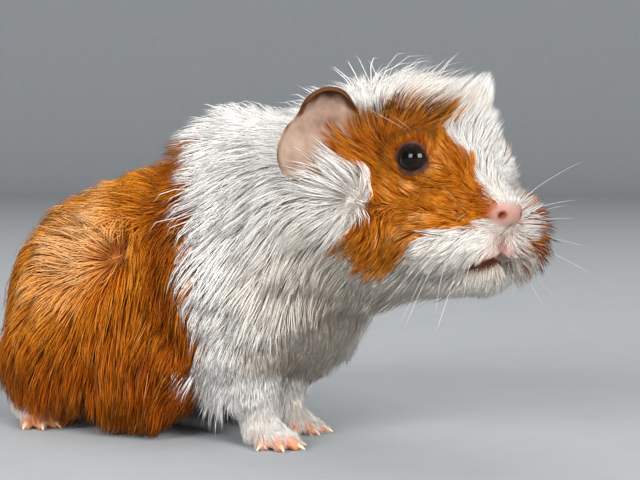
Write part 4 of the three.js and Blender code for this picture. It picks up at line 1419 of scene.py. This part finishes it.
ginger &= (bump_at(inside_roots, *FORELOCK) < 0.1) | (inside_roots[:, 1] < 3)
head_share, leg_share = found[:, 2], found[:, 3] + found[:, 4]
region = np.select(
    [leg_share > 0.5, (head_share > 0.5) & (inside_roots[:, 2] > 27), head_share > 0.5,
     roots[:, 0] > 14, roots[:, 0] > -30, roots[:, 0] > -66],
    [0, 1, 2, 3, 4, 5], 6)
REGIONS = ("legs", "crown", "face", "neck", "shoulder", "flank", "rump")
print("roots by region:", dict(zip(REGIONS, np.bincount(region, minlength=7).tolist())))

# Painted light in the ginger coat's tone: shaded is painted shade in a band just behind the mane, low is
# painted shade towards the bottom of the flanks, and the flank's pale patch is partly paler hair and partly
# a painted highlight.
shaded = np.exp(-(((roots[:, 0] - np.interp(roots[:, 2], [20, 100], [-14, -30])) / 9) ** 2))
leaning = np.stack([roots[:, 0], 0 * roots[:, 0], roots[:, 2] - 0.6 * (roots[:, 0] + 60)], -1)
pale_and_highlit_flank = bump_at(leaning, (-66, 0, 66), (23, 1, 17)) * (roots[:, 0] < -26)
low = np.interp(roots[:, 2], [15, 60], [0.65, 0])
region_tone = 0.31 + 1.05 * pale_and_highlit_flank - 0.30 * shaded - low + 0.12 * waves(roots, 16, 33)
on_cheek = bump_at(inside_roots, (-26, -22, 3), (13, 9, 8))
region_tone = np.where(head_share > 0.5, 0.54 + 0.22 * on_cheek + 0.12 * waves(roots, 9, 34), region_tone)
far_lip = bump_at(inside_roots, (-8, 20, -7), (12, 9, 12)) * (inside_roots[:, 1] > 4)
region_tone = region_tone - 0.7 * far_lip - 0.25 * bump_at(inside_roots, (-39, -22, 18), (9, 9, 12))
# Painted shade in the white coat's tone: hair on the undersides, where the skin faces down, and hair on the
# crown is painted darker.
under = np.clip((0.15 + 0.15 * head_share - rise(roots)[1][:, 2]) / 0.7, 0, 1)
shade = (1.3 - 0.6 * head_share) * under * (leg_share < 0.5)
white_tone = 1.22 - shade - 0.55 * bump_at(inside_roots, (-38, 0, 36), (20, 20, 10))
brow = bump_at(inside_roots, (-36, -12, 28), (17, 9, 6)) * (random.uniform(0, 1, len(roots)) > 0.35)
rim_eye = np.exp(-((from_eye(inside_roots) - 6.5) / 1.5) ** 2)
tick = np.clip(2.2 * brow + 0.5 * rim_eye * (random.uniform(0, 1, len(roots)) > 0.5), 0, 1)
tick = np.maximum(tick, 0.7 * (random.uniform(0, 1, len(roots)) > 0.97)) * ginger
tick = np.maximum(tick, 0.9 * far_lip * (random.uniform(0, 1, len(roots)) > 0.3))

coat_pieces, total = 0, 0
for count, fine, wide in ((2, 1.3, 3.0), (3, 2.2, 5.5), (4, 4.2, 12.0)):
    lot = np.flatnonzero(segments == count)
    paths = grow(roots[lot], lengths[lot], stands[lot], count, random)
    keep = clear_of_face(paths)
    lot, paths = lot[keep], paths[keep]
    small, small_tone = cells_of(roots[lot], fine, 41)
    large, large_tone = cells_of(roots[lot], wide, 42)
    loose = np.where(leg_share[lot] > 0.5, 0.3, 1)
    paths = gathered(paths, small, (0.4 + 0.3 * small_tone) * loose)
    paths = gathered(paths, large, (0.15 + 0.35 * large_tone) * np.where(region[lot] == 1, 0.4, loose), 1.8)
    drawn = bump_at(inside_roots[lot], *FORELOCK) * (lengths[lot] > 8)
    pull = np.linspace(0, 1, count + 1)[None, :, None] ** 1.6 * (0.95 * drawn)[:, None, None]
    paths = paths + pull * (on_head(FORELOCK_TIP) - paths[:, -1:])
    paths[:, :, 2] = np.maximum(paths[:, :, 2], FLOOR + 0.3)
    ups = unit(roots[lot] - np.where(from_head(roots[lot])[:, :1] > -50, on_head([-30, 0, 2]), [-40, 0, 45]))
    widths = (0.14 + 0.011 * lengths[lot]) * random.uniform(0.75, 1.25, len(lot))
    fine_hair = 0.4 * bump_at(inside_roots[lot], (-6, 0, -11), (8, 10, 7))
    widths = widths * (1 - fine_hair - 0.3 * bump_at(np.abs(inside_roots[lot]), np.abs(EYE), (11, 8, 10)))
    spread = 0.35 * (small_tone - 0.5) + 0.45 * (large_tone - 0.5)
    tone = np.where(ginger[lot], region_tone[lot] + spread, white_tone[lot] + 0.4 * spread)
    paint = np.stack([tone.clip(0, 1.5), tick[lot], random.uniform(0, 1, len(lot))], -1)
    places = np.stack(unwrap(roots[lot], leg_share[lot]), -1)
    each = 6 * count - 2  # triangles in a tuft
    most = MOST_TRIANGLES // each
    for colour, which, half in np.ndindex(2, len(REGIONS), 2):
        side, sign = SIDES[half]
        mine = (ginger[lot] == colour) & (region[lot] == which) & (np.sign(roots[lot][:, 1]) == sign)
        mine = np.flatnonzero(mine)
        for part in range(0, len(mine), most):
            some = mine[part:part + most]
            if len(some) < FEWEST_TUFTS:
                continue
            name = f"{('white', 'ginger')[colour]}_{REGIONS[which]}_{side}"
            name += ("_short", "_middling", "_long")[count - 2] + ("" if part == 0 else "_more")
            piece = tufts(name, paths[some], widths[some], ups[some], paint[some], places[some],
                          (white_hair, ginger_hair)[colour])
            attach(piece, "root")
            coat_pieces += 1
            total += each * len(some)
print("coat:", coat_pieces, "pieces,", total, "triangles")

# %% [markdown]
# ## Whiskers
# Long white bristles stand in rows on the lips and a few over each eye. Each is one long tuft on a
# curve that droops.

# %% Whiskers
WHISKERS = [  # root in the head's frame, way (tenths), length in mm
    (-9, 11, 1, 3, 7, 7, 27), (-8, 11.5, -0.5, 4, 9, 4, 20), (-10, 13, -2, 2, 10, 3, 25),
    (-8, 13, -4, 3, 9, 1, 23), (-11, 16, -6, 1, 10, -1, 27), (-9, 15, -8, 2, 9, -4, 25),
    (-12, 16, -10, -1, 8, -6, 27), (-10, 12, -13, 0, 6, -8, 22), (-14, 17, -8, -3, 8, -5, 24),
    (-16, 17, -12, -4, 6, -8, 23), (-7, 9, -9, 3, 8, -6, 18), (-29, 15, 25, -2, 6, 8, 15),
    (-27, 14, 24, 1, 7, 8, 12),
]


def whisker_paths(sign, random):
    """path(s) = root + way·s - up·droop·s^2 + bend·s^2. The right side's droop more."""
    rows = np.array(WHISKERS, float)
    start = rows[:, :3] + random.normal(0, 0.3, (len(rows), 3))
    way = unit(rows[:, 3:6] + [0, 0, 0 if sign > 0 else -4.5] + random.normal(0, 0.5, (len(rows), 3)))
    s = np.linspace(0, 1, 9)[None, :, None] * rows[:, 6:, None]
    droop = random.uniform(0.001, 0.006, len(rows))[:, None, None]
    bend = (unit(np.cross(way, [0, 0, 1.0])) * random.normal(0, 0.004, (len(rows), 1)))[:, None]
    return (start[:, None] + way[:, None] * s + (bend - np.array([0, 0, 1.0]) * droop) * s**2) * [1, sign, 1]


whisker_hair = Finish("whisker", Roughness=0.35, Specular_IOR_Level=0.6)
tone = whisker_hair.attribute("hair")
pale = whisker_hair.ramp(tone[0], (0, (0.75, 0.68, 0.6)), (0.4, (0.95, 0.94, 0.92)))
whisker_hair = whisker_hair.into(Base_Color=pale)
for side, sign in SIDES:
    paths = on_head(whisker_paths(sign, random))
    number = len(paths)
    ups = np.tile([0, 0, 1.0], (number, 1))
    paint = random.uniform(0, 1, (number, 3))
    places = random.uniform(0, 1, (number, 2))
    piece = tufts(f"whiskers_{side}", paths, np.full(number, 0.12), ups, paint, places, whisker_hair)
    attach(piece, "root")

# %% [markdown]
# ## Studio
# The floor is a wide disc whose edge curves up into a wall all round, so that every view has the
# same plain backdrop and no horizon shows.

# %% Floor and backdrop
def bowl(floor=4.5, bend=1.5, wall=3.0, sides=96):
    """point(s, a): a profile of a flat floor, a quarter circle and a wall, turned about the vertical."""
    turn = np.linspace(0, math.pi / 2, 24)
    radius = np.concatenate([np.linspace(0.02, floor, 20), floor + bend * np.sin(turn[1:]), [floor + bend]])
    height = np.concatenate([np.zeros(20), bend * (1 - np.cos(turn[1:])), [bend + wall]])
    angle = np.linspace(0, 2 * math.pi, sides, endpoint=False)
    points = np.stack([radius[:, None] * np.cos(angle), radius[:, None] * np.sin(angle),
                       np.repeat(height[:, None], sides, 1)], -1).reshape(-1, 3)
    middle = len(points)
    points = np.concatenate([points, [[0, 0, 0]]])
    column = np.arange(sides)
    fan = np.stack([np.full(sides, middle), column, (column + 1) % sides], -1)
    return points, grid_faces(len(radius), sides)[:, ::-1], fan


backdrop = Finish("backdrop_paper", Roughness=0.9)
paper = backdrop.noise(0.02, 4)
greys = backdrop.ramp(paper, (0.3, (0.41, 0.44, 0.47)), (0.7, (0.43, 0.46, 0.49)))
backdrop = backdrop.into(Base_Color=greys)
points, quads, fan = bowl()
floor = piece_of("studio_floor", mesh_of("studio_floor", points, quads, fan), backdrop)


# %% Lights
def softbox(name, place, aim, size, power, colour):
    """A square area light at place that faces aim."""
    light = bpy.data.lights.new(name, "AREA")
    light.size, light.energy, light.color = size, power, colour
    lamp = bpy.data.objects.new(name, light)
    scene.collection.objects.link(lamp)
    lamp.location = place
    back = unit(np.array(place, float) - np.array(aim, float))
    lamp.rotation_euler = (math.acos(back[2]), 0, math.atan2(back[0], -back[1]))


softbox("key", (2.97, -1.07, 1.17), (0.02, 0, 0.08), 1.44, 139, (1.0, 0.97, 0.93))
softbox("fill", (0.43, -3.4, 1.24), (0.02, 0, 0.08), 1.53, 127, (1.0, 0.98, 0.95))
softbox("top", (-0.5, 0.5, 2.1), (0, 0, 0.06), 1.6, 9, (1.0, 0.99, 0.97))
scene.view_settings.view_transform = "Standard"
world = bpy.data.worlds.new("soft_room")
world.use_nodes = True
world.node_tree.nodes["Background"].inputs["Color"].default_value = (1.0, 0.985, 0.96, 1)
world.node_tree.nodes["Background"].inputs["Strength"].default_value = 0.45
scene.world = world
